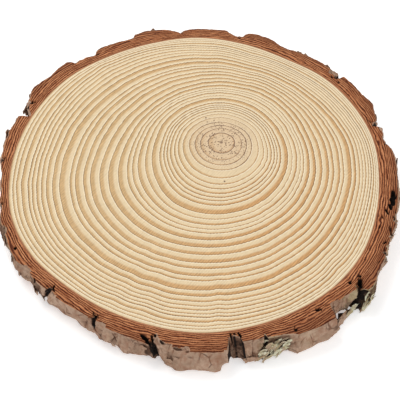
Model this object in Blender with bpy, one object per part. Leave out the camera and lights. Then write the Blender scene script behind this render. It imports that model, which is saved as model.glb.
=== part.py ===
"""A round slice cut across a pine trunk: a flat disc of pale wood in a ring of rough, plated bark.

The slice lies flat. +Z is up, the lower cut face is at z = 0, and the middle of the whole outline is
on the Z axis. The front, seen from -Y, has the thickest bark. Angles are in degrees, anticlockwise
from +X, so the front is at 270.
"""

import math

import bmesh
import bpy
import numpy as np

MM = 0.001

# The cut faces are parallel and this far apart.
THICKNESS = 18 * MM

# The wood and its bark have grown together. Their solids keep this much air between them.
GAP = 0.3 * MM

# Where the rings start: the pith is well behind the middle of the slice.
PITH = (14 * MM, 27 * MM)

# Radius of the wood in millimetres, at every 15 degrees.
WOOD_RADII = (
    115, 118, 119.5, 120.5, 119, 121, 123, 122, 122, 123, 122, 121,
    120.5, 120.5, 118, 114, 112.5, 112.5, 114, 114, 114.5, 115.5, 115.5, 114.5,
)  # fmt: skip

# How thick the bark is on the upper cut face in millimetres, at every 10 degrees.
BARK_THICKNESS = (
    12.5, 10.5, 8.5, 12, 11, 10.5, 8.5, 11.5, 7.5, 9.5, 11, 11,
    10, 10.5, 12, 10.5, 9, 8, 5.5, 6.5, 8, 10, 9.5, 9.5,
    11, 12, 13, 13, 11, 10.5, 15.5, 10.5, 13.5, 14, 13.5, 13,
)  # fmt: skip

# The fissures that part the bark into plates. Each has its angle on the upper cut face, its depth
# and the width of its mouth in millimetres, and the degrees that it drifts by on its way down.
FISSURES = (
    (10.0, 1.5, 4.5, 1.0),
    (20.5, 3.0, 5.0, 1.5),
    (42.2, 5.0, 5.0, -2.0),
    (61.0, 2.0, 7.0, 2.0),
    (78.0, 3.5, 13.0, 0.5),
    (95.3, 4.0, 5.0, 2.0),
    (110.0, 2.5, 4.5, -1.0),
    (123.0, 4.0, 5.0, 1.0),
    (130.0, 3.0, 5.0, 0.0),
    (142.0, 2.5, 5.0, 1.5),
    (154.5, 7.0, 11.0, -2.0),
    (164.0, 1.8, 4.5, 0.0),
    (173.0, 2.2, 4.5, 1.0),
    (183.5, 1.5, 4.5, 0.0),
    (191.0, 2.2, 4.5, -1.0),
    (198.5, 2.2, 5.0, 1.5),
    (213.0, 3.5, 5.0, 2.5),
    (223.0, 4.5, 5.5, -2.0),
    (239.0, 6.0, 5.5, 1.5),
    (255.0, 8.5, 8.0, 4.5),
    (279.5, 9.0, 8.0, 1.0),
    (291.5, 3.5, 5.0, 1.5),
    (308.5, 5.0, 5.0, 1.5),
    (321.0, 7.5, 7.0, -7.0),
    (333.0, 3.0, 5.0, 2.0),
    (342.0, 3.5, 5.0, 1.5),
    (354.0, 1.5, 5.0, -1.5),
)

# Plates whose foot stands out past their upper edge, or lies in from it: middle angle, half the
# angle that they fill, and how far out the foot stands in millimetres.
FLARES = (
    (29.0, 7.0, 1.5),
    (52.0, 8.5, 2.0),
    (103.0, 7.0, 2.0),
    (137.0, 6.0, 1.5),
    (181.0, 12.0, -1.5),
    (208.0, 8.0, -2.0),
    (226.0, 10.0, -1.5),
    (247.0, 7.0, 1.5),
    (269.5, 8.0, 3.0),
    (285.5, 5.5, 5.0),
    (300.5, 8.0, 2.0),
    (314.0, 6.0, 4.0),
    (337.0, 14.0, -3.5),
)

# Places where the saw has broken the foot of the bark away: middle angle, half the angle that the
# chip fills, and its height in millimetres.
CHIPS = (
    (15.0, 6.0, 3.0),
    (43.0, 6.0, 2.5),
    (80.0, 8.0, 3.5),
    (121.0, 7.0, 2.5),
    (155.0, 6.0, 4.0),
    (186.0, 7.0, 2.5),
    (213.0, 6.0, 3.5),
    (224.0, 4.0, 2.5),
    (242.0, 5.0, 3.0),
    (259.0, 4.0, 4.5),
    (280.0, 3.5, 5.0),
    (292.0, 4.0, 3.0),
    (311.0, 6.0, 5.0),
    (334.0, 5.0, 2.5),
    (352.0, 6.0, 3.0),
)

# The low swells and hollows of the bark's outside: waves around the slice, waves down its side,
# phase in degrees and height in millimetres.
SWELLS = (
    (29, 0.6, 40.0, 0.55),
    (47, -1.1, 200.0, 0.45),
    (71, 1.7, 310.0, 0.4),
    (23, 2.3, 120.0, 0.35),
)

# Shares of the thickness at which the side of the bark has a row of points, from the top down, and
# how far it bellies out there in millimetres.
SIDE_ROWS = ((0.95, 0.4), (0.8, 0.9), (0.62, 1.2), (0.44, 1.2), (0.28, 0.8))
LEAST_BARK = 2.6 * MM
LIP_DROP = 0.25 * MM
FOOT_INSET = 1.2 * MM
FOOT_RISE = 0.3 * MM

WOOD_SIDES = 240
MEAN_RADIUS = 127 * MM
COLUMN_SPACING = 2.8 * MM

WOOD_COLOUR = (0.76, 0.57, 0.34, 1)
BARK_COLOUR = (0.23, 0.095, 0.045, 1)


def closed_curve(values, degrees):
    """The smooth curve round the slice through values that are evenly spaced (Catmull-Rom)."""
    values = np.asarray(values, float)
    place = np.asarray(degrees, float) % 360 / 360 * len(values)
    first = np.floor(place).astype(int)
    t = place - first
    a, b, c, d = (values[(first + k) % len(values)] for k in (-1, 0, 1, 2))
    return b + t / 2 * (c - a + t * (2 * a - 5 * b + 4 * c - d + t * (3 * (b - c) + d - a)))


def turned(degrees):
    """An angle, or the step between two, as a value from -180 to 180."""
    return (degrees + 180) % 360 - 180


def across(degrees, middle, half):
    """How far each angle is from the middle of a stretch: 0 there and 1 at the stretch's ends."""
    return np.minimum(np.abs(turned(degrees - middle)) / half, 1)


def wood_radius(degrees):
    return closed_curve(WOOD_RADII, degrees) * MM


def half_mouth(width):
    """Half of a fissure's mouth, given in millimetres, as an angle in degrees."""
    return math.degrees(width * MM / 2 / MEAN_RADIUS)


def fissure_depth(degrees):
    """How deep the bark is cut at each angle: every fissure is a V that narrows to its bottom."""
    depth = np.zeros(len(degrees))
    for angle, deepest, width, _ in FISSURES:
        wall = deepest * MM * (1 - across(degrees, angle, half_mouth(width)))
        depth = np.maximum(depth, wall)
    return depth


def drift(degrees):
    """Degrees from the head of the bark to its foot: as each fissure has it, and even between them."""
    angles = np.array([row[0] for row in FISSURES])
    drifts = np.array([row[3] for row in FISSURES])
    return np.interp(degrees, angles, drifts, period=360)


def humps(degrees, rows):
    """The sum of broad humps, each flat in its middle and steep at its ends (1 less a power of 4)."""
    return sum(
        size * MM * (1 - across(degrees, middle, half) ** 4) for middle, half, size in rows
    )


def swell(degrees, share):
    """The waves on the outside of the bark at this share of its height."""
    return sum(
        size * MM * np.sin(np.radians(around * degrees + phase) + down * share * 2 * math.pi)
        for around, down, phase, size in SWELLS
    )


def column_angles():
    """Angles of the bark's columns of points: five on each fissure, and even steps between."""
    fixed = []
    for angle, _, width, _ in FISSURES:
        fixed += [angle + share * half_mouth(width) for share in (-1, -0.5, 0, 0.5, 1)]
    fixed = np.sort(np.array(fixed) % 360)
    steps = np.diff(np.append(fixed, fixed[0] + 360))
    spacing = math.degrees(COLUMN_SPACING / MEAN_RADIUS)
    columns = []
    for start, step in zip(fixed, steps):
        count = max(1, math.ceil(step / spacing))
        columns += [start + step * k / count for k in range(count)]
    return np.array(columns)


def ring_points(radius, degrees, height):
    """Points at these radii and angles around the axis, at one height or at a height for each."""
    turn = np.radians(degrees)
    height = np.broadcast_to(height, np.shape(radius))
    return np.stack([radius * np.cos(turn), radius * np.sin(turn), height], axis=1)


def bark_rows():
    """The rows of points that run round the bark, in order round its section."""
    degrees = column_angles()
    cut = fissure_depth(degrees)
    flare = humps(degrees, FLARES)
    chip = humps(degrees, CHIPS)

    def outside(at, share, more):
        """Radius of the outside at a share of the height: never closer to the wood than allowed."""
        bark = closed_curve(BARK_THICKNESS, at) * MM - cut + swell(at, share) + more
        return wood_radius(at) + np.maximum(bark, LEAST_BARK)

    inner = wood_radius(degrees) + GAP
    edge = outside(degrees, 1, 0)
    rows = [
        ring_points(inner, degrees, 0),
        ring_points(inner, degrees, THICKNESS),
        ring_points((inner + edge) / 2, degrees, THICKNESS),
        ring_points(edge, degrees, THICKNESS - LIP_DROP),
    ]
    for share, belly in SIDE_ROWS:
        at = degrees + drift(degrees) * (1 - share)
        radius = outside(at, share, belly * MM + flare * (1 - share))
        rows.append(ring_points(radius, at, THICKNESS * share))
    at = degrees + drift(degrees)
    foot = outside(at, 0, flare - FOOT_INSET - chip / 2)
    rows.append(ring_points(foot, at, FOOT_RISE + chip))
    at = degrees + drift(degrees) / 2
    underside = (wood_radius(at) + GAP) * 0.6 + foot * 0.4
    rows.append(ring_points(underside, at, chip / 6))
    return np.array(rows)


def new_object(name, bm, colour, roughness):
    """A smooth-shaded object in the scene from a bmesh, with a material of its own."""
    bmesh.ops.recalc_face_normals(bm, faces=bm.faces)
    mesh = bpy.data.meshes.new(name)
    bm.to_mesh(mesh)
    bm.free()
    mesh.shade_smooth()
    mesh.set_sharp_from_angle(angle=math.radians(35))
    material = bpy.data.materials.new(name)
    material.use_nodes = True
    shader = material.node_tree.nodes["Principled BSDF"]
    shader.inputs["Base Color"].default_value = colour
    shader.inputs["Roughness"].default_value = roughness
    mesh.materials.append(material)
    obj = bpy.data.objects.new(name, mesh)
    bpy.context.scene.collection.objects.link(obj)
    return obj


def make_wood(centre):
    """The disc of wood: its lower face is a fan round the pith, extruded up by the thickness."""
    degrees = np.arange(WOOD_SIDES) * 360 / WOOD_SIDES
    rim = ring_points(wood_radius(degrees), degrees, 0) - centre
    bm = bmesh.new()
    verts = [bm.verts.new(point) for point in rim]
    pith = bm.verts.new((*PITH, 0))
    for k, vert in enumerate(verts):
        bm.faces.new((pith, verts[(k + 1) % WOOD_SIDES], vert))
    lower = list(bm.faces)
    made = bmesh.ops.extrude_face_region(bm, geom=lower, use_keep_orig=True)
    upper = [item for item in made["geom"] if isinstance(item, bmesh.types.BMVert)]
    bmesh.ops.translate(bm, vec=(0, 0, THICKNESS), verts=upper)
    return new_object("wood", bm, WOOD_COLOUR, 0.55)


def make_bark(rows):
    """The ring of bark: its rows joined one to the next, and the last to the first."""
    bm = bmesh.new()
    grid = [[bm.verts.new(point) for point in row] for row in rows]
    count, around = len(grid), len(grid[0])
    for i in range(count):
        here, after = grid[i], grid[(i + 1) % count]
        for k in range(around):
            turn = (k + 1) % around
            bm.faces.new((here[k], here[turn], after[turn], after[k]))
    return new_object("bark", bm, BARK_COLOUR, 0.9)


def main():
    for obj in list(bpy.data.objects):
        bpy.data.objects.remove(obj, do_unlink=True)
    rows = bark_rows()
    points = rows.reshape(-1, 3)
    centre = (points.min(axis=0) + points.max(axis=0)) / 2
    centre[2] = 0
    make_wood(centre)
    make_bark(rows - centre)


main()
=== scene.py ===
# %% [markdown]
# # A slice of pine in its bark
# The thing is one sawn slice of a pine trunk: a disc of pale wood with its year rings, and around
# it a ring of rough bark. The solids come first, as a fixed frame. Everything below is a finer skin
# that takes the place of one of those solids and keeps its size.

# %% Load the fixed frame
import math

import bpy
import numpy as np
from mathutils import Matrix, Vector


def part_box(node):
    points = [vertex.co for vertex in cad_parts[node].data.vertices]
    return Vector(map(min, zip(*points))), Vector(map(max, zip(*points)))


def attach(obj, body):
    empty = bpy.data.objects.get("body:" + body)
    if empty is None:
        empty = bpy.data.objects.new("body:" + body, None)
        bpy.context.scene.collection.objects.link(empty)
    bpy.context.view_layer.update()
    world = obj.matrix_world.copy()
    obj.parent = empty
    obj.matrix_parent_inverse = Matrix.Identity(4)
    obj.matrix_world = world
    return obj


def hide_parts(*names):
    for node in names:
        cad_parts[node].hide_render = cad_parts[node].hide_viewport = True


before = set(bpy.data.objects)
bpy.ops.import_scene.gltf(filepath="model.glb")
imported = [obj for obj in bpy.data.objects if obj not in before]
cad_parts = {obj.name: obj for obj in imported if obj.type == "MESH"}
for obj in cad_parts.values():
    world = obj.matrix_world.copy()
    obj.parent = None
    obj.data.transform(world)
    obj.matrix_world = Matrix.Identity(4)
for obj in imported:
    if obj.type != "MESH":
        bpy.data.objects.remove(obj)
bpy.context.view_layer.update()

MM = 0.001  # one millimetre in metres, which Blender counts in

# %% [markdown]
# ## Camera
# The photograph looks down on the slice from the front, steeply, with a long lens. A camera could
# be moved about by eye until it fits, but a round thing shows from where it was seen. So it is put
# where the oval of the wood's edge and the thickness of the side come out as they do there: 53.5
# degrees above the floor and about 75 cm away.

# %% Camera
PICTURE_WIDTH = 400
FOCAL_PIXELS = 1200
SENSOR_WIDTH = 36
CAMERA_HEIGHT_ANGLE = math.radians(53.5)
CAMERA_DISTANCE = 754.7 * MM
CAMERA_AIM = Vector((0.7 * MM, -20.1 * MM, 18 * MM))
NEAREST_SEEN = 10 * MM

camera_data = bpy.data.cameras.new("camera")
camera_data.sensor_width = SENSOR_WIDTH
camera_data.lens = FOCAL_PIXELS * SENSOR_WIDTH / PICTURE_WIDTH
camera_data.clip_start = NEAREST_SEEN
camera = bpy.data.objects.new("camera", camera_data)
back = Vector((0, -math.cos(CAMERA_HEIGHT_ANGLE), math.sin(CAMERA_HEIGHT_ANGLE)))
camera.location = CAMERA_AIM + back * CAMERA_DISTANCE
camera.rotation_euler = (math.pi / 2 - CAMERA_HEIGHT_ANGLE, 0, 0)
bpy.context.scene.collection.objects.link(camera)
bpy.context.scene.camera = camera
print("lens", round(camera_data.lens), "mm")

# %% [markdown]
# ## Floor and light
# The slice was photographed on plain white with very soft light, so its shadow is only a faint
# grey under the bark. One lamp would give a hard shadow and a sky alone would leave the bark flat.
# So a white sky gives the even part of the light, and a wide panel above, a little behind and to
# the left, and a weaker one at the front right shape the bark. The floor glows a little, like the
# light table of a studio, and that is what keeps the shadow so faint.

# %% Floor and light
SKY_STRENGTH = 0.50
FLOOR_WHITE = (0.93, 0.93, 0.93, 1)
FLOOR_GLOW = 0.38
FLOOR_HALF = 3.0
FLOOR_Z = -0.05 * MM
FLOOR_ROUGHNESS = 0.9
PANELS = (
    # place, side in metres, watts
    (Vector((-0.5, 0.55, 1.1)), 0.8, 8.5),
    (Vector((0.55, -0.6, 0.95)), 1.0, 3.5),
)

bpy.context.scene.view_settings.view_transform = "Standard"
world = bpy.data.worlds.new("white sky")
world.use_nodes = True
world.node_tree.nodes["Background"].inputs["Color"].default_value = (1, 1, 1, 1)
world.node_tree.nodes["Background"].inputs["Strength"].default_value = SKY_STRENGTH
bpy.context.scene.world = world

for number, (place, side, watts) in enumerate(PANELS):
    panel = bpy.data.lights.new(f"panel_{number}", "AREA")
    panel.size = side
    panel.energy = watts
    lamp = bpy.data.objects.new(f"panel_{number}", panel)
    lamp.location = place
    lamp.rotation_euler = (-place).to_track_quat("-Z", "Y").to_euler()
    bpy.context.scene.collection.objects.link(lamp)

floor_mesh = bpy.data.meshes.new("floor")
floor_corners = [(x * FLOOR_HALF, y * FLOOR_HALF, FLOOR_Z)
                 for x, y in ((-1, -1), (1, -1), (1, 1), (-1, 1))]
floor_mesh.from_pydata(floor_corners, [], [(0, 1, 2, 3)])
floor = bpy.data.objects.new("floor", floor_mesh)
bpy.context.scene.collection.objects.link(floor)
floor_paint = bpy.data.materials.new("floor")
floor_paint.use_nodes = True
floor_shader = floor_paint.node_tree.nodes["Principled BSDF"]
floor_shader.inputs["Base Color"].default_value = FLOOR_WHITE
floor_shader.inputs["Roughness"].default_value = FLOOR_ROUGHNESS
floor_shader.inputs["Emission Color"].default_value = (1, 1, 1, 1)
floor_shader.inputs["Emission Strength"].default_value = FLOOR_GLOW
floor_mesh.materials.append(floor_paint)
print("panels:", len(PANELS))

# %% [markdown]
# ## Two ways to be irregular
# Wood and bark are never even, so every shape below is a smooth rule plus some chance. Blender has
# noise textures, but this chance has to join up round the slice, and to be the same in the mesh
# and in what its finish is told, so it is worked out here. `wavy` is chance that rolls: random
# heights on a grid, eased from one to the next. `scales` is chance that breaks: it scatters points
# and gives each place the number of its nearest point, the way that dry bark parts into flakes.
# Both take whole arrays, how many squares the grid has in one turn, and a seed, so that the same
# chance comes out every time.


# %% Rolling chance
GRID_ROWS = 64
LAYER_OFFSET = 7.3  # keeps the corners of one layer off those of the next


def wavy(turn, along, cells, seed):
    """Random heights from -1 to 1 at the corners of a grid, with an S curve between two corners.
    `turn` is a share of a full turn and wraps after `cells` corners, `along` counts corners."""
    grid = np.random.default_rng(seed).uniform(-1, 1, (GRID_ROWS, cells))
    x, y = turn % 1 * cells, along % GRID_ROWS
    column, row = np.floor(x).astype(int) % cells, np.floor(y).astype(int) % GRID_ROWS
    fx, fy = x - np.floor(x), y - np.floor(y)
    fx, fy = fx * fx * (3 - 2 * fx), fy * fy * (3 - 2 * fy)
    right, below = (column + 1) % cells, (row + 1) % GRID_ROWS
    here = grid[row, column] * (1 - fx) + grid[row, right] * fx
    there = grid[below, column] * (1 - fx) + grid[below, right] * fx
    return here * (1 - fy) + there * fy


def rough(turn, along, cells, seed, layers=3):
    """A sum of `wavy` layers, each twice as fine as the one before and half as high."""
    return sum(
        wavy(turn, along * 2**k + LAYER_OFFSET * k, cells * 2**k, seed + k) / 2**k
        for k in range(layers)
    )


sample = wavy(np.linspace(0, 1, 5), np.zeros(5), cells=12, seed=1)
print("rolling chance:", np.round(sample, 2))


# %% Breaking chance
def scales(turn, along, cells, seed):
    """How much nearer the nearest scattered point is than the second nearest, and the nearest
    point's own random number. One point is scattered in every square of the grid."""
    rng = np.random.default_rng(seed)
    jitter = rng.uniform(0.1, 0.9, (GRID_ROWS, cells, 2))
    number = rng.uniform(-1, 1, (GRID_ROWS, cells))
    x, y = turn % 1 * cells, along % GRID_ROWS
    column, row = np.floor(x).astype(int), np.floor(y).astype(int)
    nearest = np.full(x.shape, np.inf)
    second = np.full(x.shape, np.inf)
    value = np.zeros(x.shape)
    for dx in (-1, 0, 1):
        for dy in (-1, 0, 1):
            i, j = (row + dy) % GRID_ROWS, (column + dx) % cells
            away = np.hypot(column + dx + jitter[i, j, 0] - x, row + dy + jitter[i, j, 1] - y)
            closer = away < nearest
            second = np.where(closer, nearest, np.minimum(second, away))
            value = np.where(closer, number[i, j], value)
            nearest = np.where(closer, away, nearest)
    return second - nearest, value


def eased(value, low, high):
    """0 below `low`, 1 above `high` and an S curve between them."""
    share = np.clip((value - low) / (high - low), 0, 1)
    return share * share * (3 - 2 * share)


sample_gaps, sample_numbers = scales(np.linspace(0, 1, 5), np.zeros(5), cells=12, seed=1)
print("breaking chance:", np.round(sample_numbers, 2), "gaps:", np.round(sample_gaps, 2))

# %% [markdown]
# ## The outline
# The wood's outline is not a circle. It could be drawn by hand with a curve and its handles, but
# then it would miss the solid in places. So it is a smooth curve through a radius for every 15
# degrees, the same values that the solid has. The solid was centred by its bark, so the wood's own
# box tells how far the curve has to be moved.

# %% The wood's outline
THICKNESS = 18 * MM
WOOD_RADII = (
    115, 118, 119.5, 120.5, 119, 121, 123, 122, 122, 123, 122, 121,
    120.5, 120.5, 118, 114, 112.5, 112.5, 114, 114, 114.5, 115.5, 115.5, 114.5,
)


def closed_curve(values, degrees):
    """The smooth curve round the slice through values that are evenly spaced (Catmull-Rom)."""
    values = np.asarray(values, float)
    place = np.asarray(degrees, float) % 360 / 360 * len(values)
    first = np.floor(place).astype(int)
    t = place - first
    a, b, c, d = (values[(first + k) % len(values)] for k in (-1, 0, 1, 2))
    return b + t / 2 * (c - a + t * (2 * a - 5 * b + 4 * c - d + t * (3 * (b - c) + d - a)))


def wood_radius(degrees):
    return closed_curve(WOOD_RADII, degrees) * MM


def round_points(radius, degrees, height):
    """Points in space from a radius, an angle and a height for each: x = r cos, y = r sin."""
    turn = np.radians(degrees)
    radius, turn, height = np.broadcast_arrays(radius, turn, height)
    return np.stack([radius * np.cos(turn), radius * np.sin(turn), height], axis=-1)


outline_angles = np.arange(0, 360, 1.5)
outline = round_points(wood_radius(outline_angles), outline_angles, 0)
wood_low, wood_high = (np.array(corner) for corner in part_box("wood"))
SHIFT = (wood_low + wood_high) / 2 - (outline.min(axis=0) + outline.max(axis=0)) / 2
SHIFT[2] = 0
print("outline moved by", np.round(SHIFT / MM, 2), "mm")

# %% [markdown]
# ## Grids of points into meshes
# A slice could be modelled from a cylinder with loop cuts, but its rings and cracks have to lie
# exactly where the numbers put them. So every new piece is a grid of points: rows that follow each
# other over the surface, each a closed loop round the slice. Joining each row to the next gives
# the faces. A disc is closed by a single point at both ends, a ring by joining its last row to its
# first. The volume tells whether the faces point outwards: it is negative if they point inwards.


# %% Grids into meshes
def skin(name, rows, first_point=None, last_point=None):
    """A closed mesh: four-sided faces between neighbouring rows, and a fan to each end point.
    Without end points the last row joins the first. It is turned if its volume is negative."""
    count, around = rows.shape[:2]
    points = rows.reshape(-1, 3)
    index = np.arange(count * around).reshape(count, around)
    if first_point is None:
        here, after = index, np.roll(index, -1, 0)
    else:
        here, after = index[:-1], index[1:]
    beside, after_beside = np.roll(here, -1, 1), np.roll(after, -1, 1)
    quads = np.stack([here, beside, after_beside, after], axis=-1).reshape(-1, 4)
    fans = np.zeros((0, 3), int)
    if first_point is not None:
        points = np.vstack([points, first_point, last_point])
        start, end = np.full(around, len(points) - 2), np.full(around, len(points) - 1)
        first = np.stack([start, np.roll(index[0], -1), index[0]], axis=-1)
        last = np.stack([end, index[-1], np.roll(index[-1], -1)], axis=-1)
        fans = np.vstack([first, last])
    corners = np.concatenate([fans.ravel(), quads.ravel()])
    sizes = np.concatenate([np.full(len(fans), 3), np.full(len(quads), 4)])
    return mesh_piece(name, points, corners, sizes)


def mesh_piece(name, points, corners, sizes):
    """An object at the origin from points, the corners of its faces and how many each face has."""
    mesh = bpy.data.meshes.new(name)
    starts = np.concatenate([[0], np.cumsum(sizes)[:-1]])
    mesh.vertices.add(len(points))
    mesh.vertices.foreach_set("co", np.ascontiguousarray(points, np.float32).ravel())
    mesh.loops.add(len(corners))
    mesh.loops.foreach_set("vertex_index", corners.astype(np.int32))
    mesh.polygons.add(len(sizes))
    mesh.polygons.foreach_set("loop_start", starts.astype(np.int32))
    mesh.update(calc_edges=True)
    if signed_volume(points, corners, starts, sizes) < 0:
        mesh.flip_normals()
    mesh.validate()
    mesh.shade_smooth()
    piece = bpy.data.objects.new(name, mesh)
    bpy.context.scene.collection.objects.link(piece)
    return piece


def signed_volume(points, corners, starts, sizes):
    """Six times the volume inside the faces: the sum, with its sign, over every triangle of the
    triple product of its three corners."""
    total = 0.0
    for step in range(1, int(sizes.max()) - 1):
        has = sizes > step + 1
        a, b, c = (points[corners[starts[has] + k]] for k in (0, step, step + 1))
        total += np.einsum("ij,ij->i", a, np.cross(b, c)).sum()
    return total


def note(piece, name, values, domain="POINT"):
    """Keeps a number, or a vector, for every point or face of the piece, for its finish to read."""
    values = np.asarray(values, np.float32)
    kind = "FLOAT_VECTOR" if values.ndim == 2 else "FLOAT"
    layer = piece.data.attributes.new(name, kind, domain)
    layer.data.foreach_set("vector" if values.ndim == 2 else "value", values.ravel())


corner_of_cube = np.array([[0, 0, 0], [1, 0, 0], [0, 1, 0], [0, 0, 1]])
four_faces = np.array([0, 2, 1, 0, 1, 3, 0, 3, 2, 1, 2, 3])
six_volumes = signed_volume(corner_of_cube, four_faces, np.arange(0, 12, 3), np.full(4, 3))
print("six times the volume of a corner cut off a cube:", six_volumes)

# %% [markdown]
# ## Finishes as recipes
# A finish is a small tree of nodes. It could be wired up by hand in the node editor, but in a
# script that takes several lines for a node. To keep each recipe readable, `Finish` has one short
# method for each kind of node and each step of arithmetic, and every method takes either a number
# or the output of another one.


# %% Finishes as recipes
class Finish:
    """A material that is built up step by step around one Principled shader."""

    def __init__(self, name, roughness, specular):
        self.material = bpy.data.materials.new(name)
        self.material.use_nodes = True
        self.tree = self.material.node_tree
        self.shader = self.tree.nodes["Principled BSDF"]
        self.shader.inputs["Roughness"].default_value = roughness
        self.shader.inputs["Specular IOR Level"].default_value = specular

    def feed(self, socket, value):
        """Links another node's output to the socket, or sets it to a number or colour."""
        if isinstance(value, bpy.types.NodeSocket):
            self.tree.links.new(value, socket)
        elif isinstance(value, tuple) and len(value) == 3 and socket.type == "RGBA":
            socket.default_value = (*value, 1)
        else:
            socket.default_value = value

    def place(self):
        """The point of the surface in the slice's own coordinates, in metres."""
        return self.tree.nodes.new("ShaderNodeTexCoord").outputs["Object"]

    def noted(self, name, vector=False):
        """What `note` kept on the mesh under this name."""
        node = self.tree.nodes.new("ShaderNodeAttribute")
        node.attribute_name = name
        return node.outputs["Vector" if vector else "Fac"]

    def calculate(self, operation, a, b=0.0, c=0.0):
        """One step of arithmetic with up to three values."""
        node = self.tree.nodes.new("ShaderNodeMath")
        node.operation = operation
        for socket, value in zip(node.inputs, (a, b, c)):
            self.feed(socket, value)
        return node.outputs[0]

    def plus(self, a, b):
        return self.calculate("ADD", a, b)

    def less(self, a, b):
        return self.calculate("SUBTRACT", a, b)

    def times(self, a, b):
        return self.calculate("MULTIPLY", a, b)

    def over(self, a, b):
        return self.calculate("DIVIDE", a, b)

    def scaled(self, value, by, and_add):
        """The value times one number, and another added."""
        return self.calculate("MULTIPLY_ADD", value, by, and_add)

    def swing(self, noise, size):
        """Noise around 0.5, moved to lie around 0 and scaled."""
        return self.times(self.less(noise, 0.5), size)

    def mapped(self, vector, socket, value):
        """The vector turned or scaled, whichever socket is named."""
        node = self.tree.nodes.new("ShaderNodeMapping")
        self.feed(node.inputs["Vector"], vector)
        node.inputs[socket].default_value = value
        return node.outputs["Vector"]

    def turned(self, vector, degrees):
        """The vector turned about the upright axis."""
        return self.mapped(vector, "Rotation", (0, 0, math.radians(degrees)))

    def stretched(self, vector, scale):
        """The vector scaled along each axis: below 1 draws a texture on it out, above 1 squeezes
        it."""
        return self.mapped(vector, "Scale", scale)

    def part(self, vector, axis):
        """One of the three numbers of a vector."""
        node = self.tree.nodes.new("ShaderNodeSeparateXYZ")
        self.feed(node.inputs[0], vector)
        return node.outputs[axis]

    def near(self, place, point, size):
        """1 within 0.4 times `size` of a point of the surface, and 0 from `size` metres on."""
        node = self.tree.nodes.new("ShaderNodeVectorMath")
        node.operation = "DISTANCE"
        self.feed(node.inputs[0], place)
        node.inputs[1].default_value = point
        return self.between(node.outputs["Value"], size * 0.4, size, 1.0, 0.0)

    def grain(self, vector, scale, detail=3.0, roughness=0.55, twist=0.0):
        """Soft noise around 0.5."""
        node = self.tree.nodes.new("ShaderNodeTexNoise")
        for name, value in (("Vector", vector), ("Scale", scale), ("Detail", detail),
                            ("Roughness", roughness), ("Distortion", twist)):
            self.feed(node.inputs[name], value)
        return node.outputs["Fac"]

    def cells(self, vector, scale, feature="F1"):
        """Distance to the nearest of many scattered points, or to the edge between two."""
        node = self.tree.nodes.new("ShaderNodeTexVoronoi")
        node.feature = feature
        self.feed(node.inputs["Vector"], vector)
        self.feed(node.inputs["Scale"], scale)
        return node.outputs["Distance"]

    def between(self, value, low, high, start=0.0, end=1.0):
        """Turns low to high into start to end with an S curve, and holds the ends."""
        node = self.tree.nodes.new("ShaderNodeMapRange")
        node.interpolation_type = "SMOOTHSTEP"
        for socket, number in zip(node.inputs, (value, low, high, start, end)):
            self.feed(socket, number)
        return node.outputs[0]

    def blend(self, share, a, b, how="MIX"):
        """Colour `a` at a share of 0 and colour `b` at 1, or `a` multiplied by `b`."""
        node = self.tree.nodes.new("ShaderNodeMix")
        node.data_type = "RGBA"
        node.blend_type = how
        for name, value in (("Factor_Float", share), ("A_Color", a), ("B_Color", b)):
            self.feed(next(s for s in node.inputs if s.identifier == name), value)
        return next(s for s in node.outputs if s.identifier == "Result_Color")

    def relief(self, height, distance, strength=1.0, under=None):
        """Shading as if the surface rose by `height` times `distance` metres."""
        node = self.tree.nodes.new("ShaderNodeBump")
        node.inputs["Strength"].default_value = strength
        node.inputs["Distance"].default_value = distance
        self.feed(node.inputs["Height"], height)
        if under is not None:
            self.feed(node.inputs["Normal"], under)
        return node.outputs["Normal"]

    def finish(self, colour, normal):
        """Gives the colour and the fine relief to the shader, and returns the material."""
        self.feed(self.shader.inputs["Base Color"], colour)
        self.feed(self.shader.inputs["Normal"], normal)
        return self.material


def shade(red, green, blue):
    """A colour as seen on a screen, from 0 to 255, as the linear values that Blender wants."""
    values = np.array([red, green, blue]) / 255
    return tuple(float(v) for v in np.where(values < 0.04045, values / 12.92,
                                            ((values + 0.055) / 1.055) ** 2.4))


print("cream", np.round(shade(238, 222, 185), 2))

# %% [markdown]
# ## Year rings as a map
# A tree that leans or grows in the wind lays down more wood on one side, so the rings here are
# round only near the pith and then bulge to the front left. They could be drawn by a texture of
# circles, but then they would run off the edge instead of following it. So some key rings are
# given as curves round the pith, in millimetres for every 30 degrees, and the rings between two
# keys take their share of the way. The last key is the wood's own edge.

# %% Year rings as a map
PITH = (14.6 * MM, 26.7 * MM)
# The number before each curve is the age at which the tree had that outline.
KEY_RINGS = {
    1: (8.9, 8.7, 8.2, 8.2, 8.3, 8.6, 8.7, 8.9, 9.2, 9.4, 9.3, 9.1),
    4: (19.7, 18.5, 17.3, 17.4, 18.0, 19.4, 21.0, 21.9, 22.8, 23.2, 22.9, 21.3),
    7: (29.3, 27.5, 26.5, 26.8, 27.2, 28.5, 30.2, 33.6, 37.2, 38.5, 36.0, 33.3),
    12: (41.8, 38.3, 38.0, 38.4, 39.3, 41.0, 43.5, 50.3, 57.8, 57.8, 53.6, 47.6),
    18: (58.6, 54.8, 54.4, 53.4, 54.5, 58.0, 67.0, 81.5, 85.8, 82.4, 75.8, 67.5),
    24: (81.8, 72.3, 69.2, 71.0, 77.2, 86.0, 99.0, 114.0, 116.5, 113.2, 103.5, 91.3),
    30: (94.5, 84.8, 80.5, 85.0, 95.5, 107.3, 119.6, 134.0, 134.6, 132.3, 121.7, 105.0),
}
LAST_RING = 34
# How far each ring lies on the way from one key to the next, in order of age.
RING_SHARES = (
    (1,), (0.41, 0.70, 1), (0.43, 0.76, 1), (0.19, 0.34, 0.48, 0.66, 1),
    (0.16, 0.33, 0.46, 0.58, 0.78, 1), (0.18, 0.37, 0.51, 0.68, 0.79, 1),
    (0.23, 0.43, 0.59, 0.74, 0.88, 1), (0.33, 0.59, 0.79, 1),
)

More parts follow.
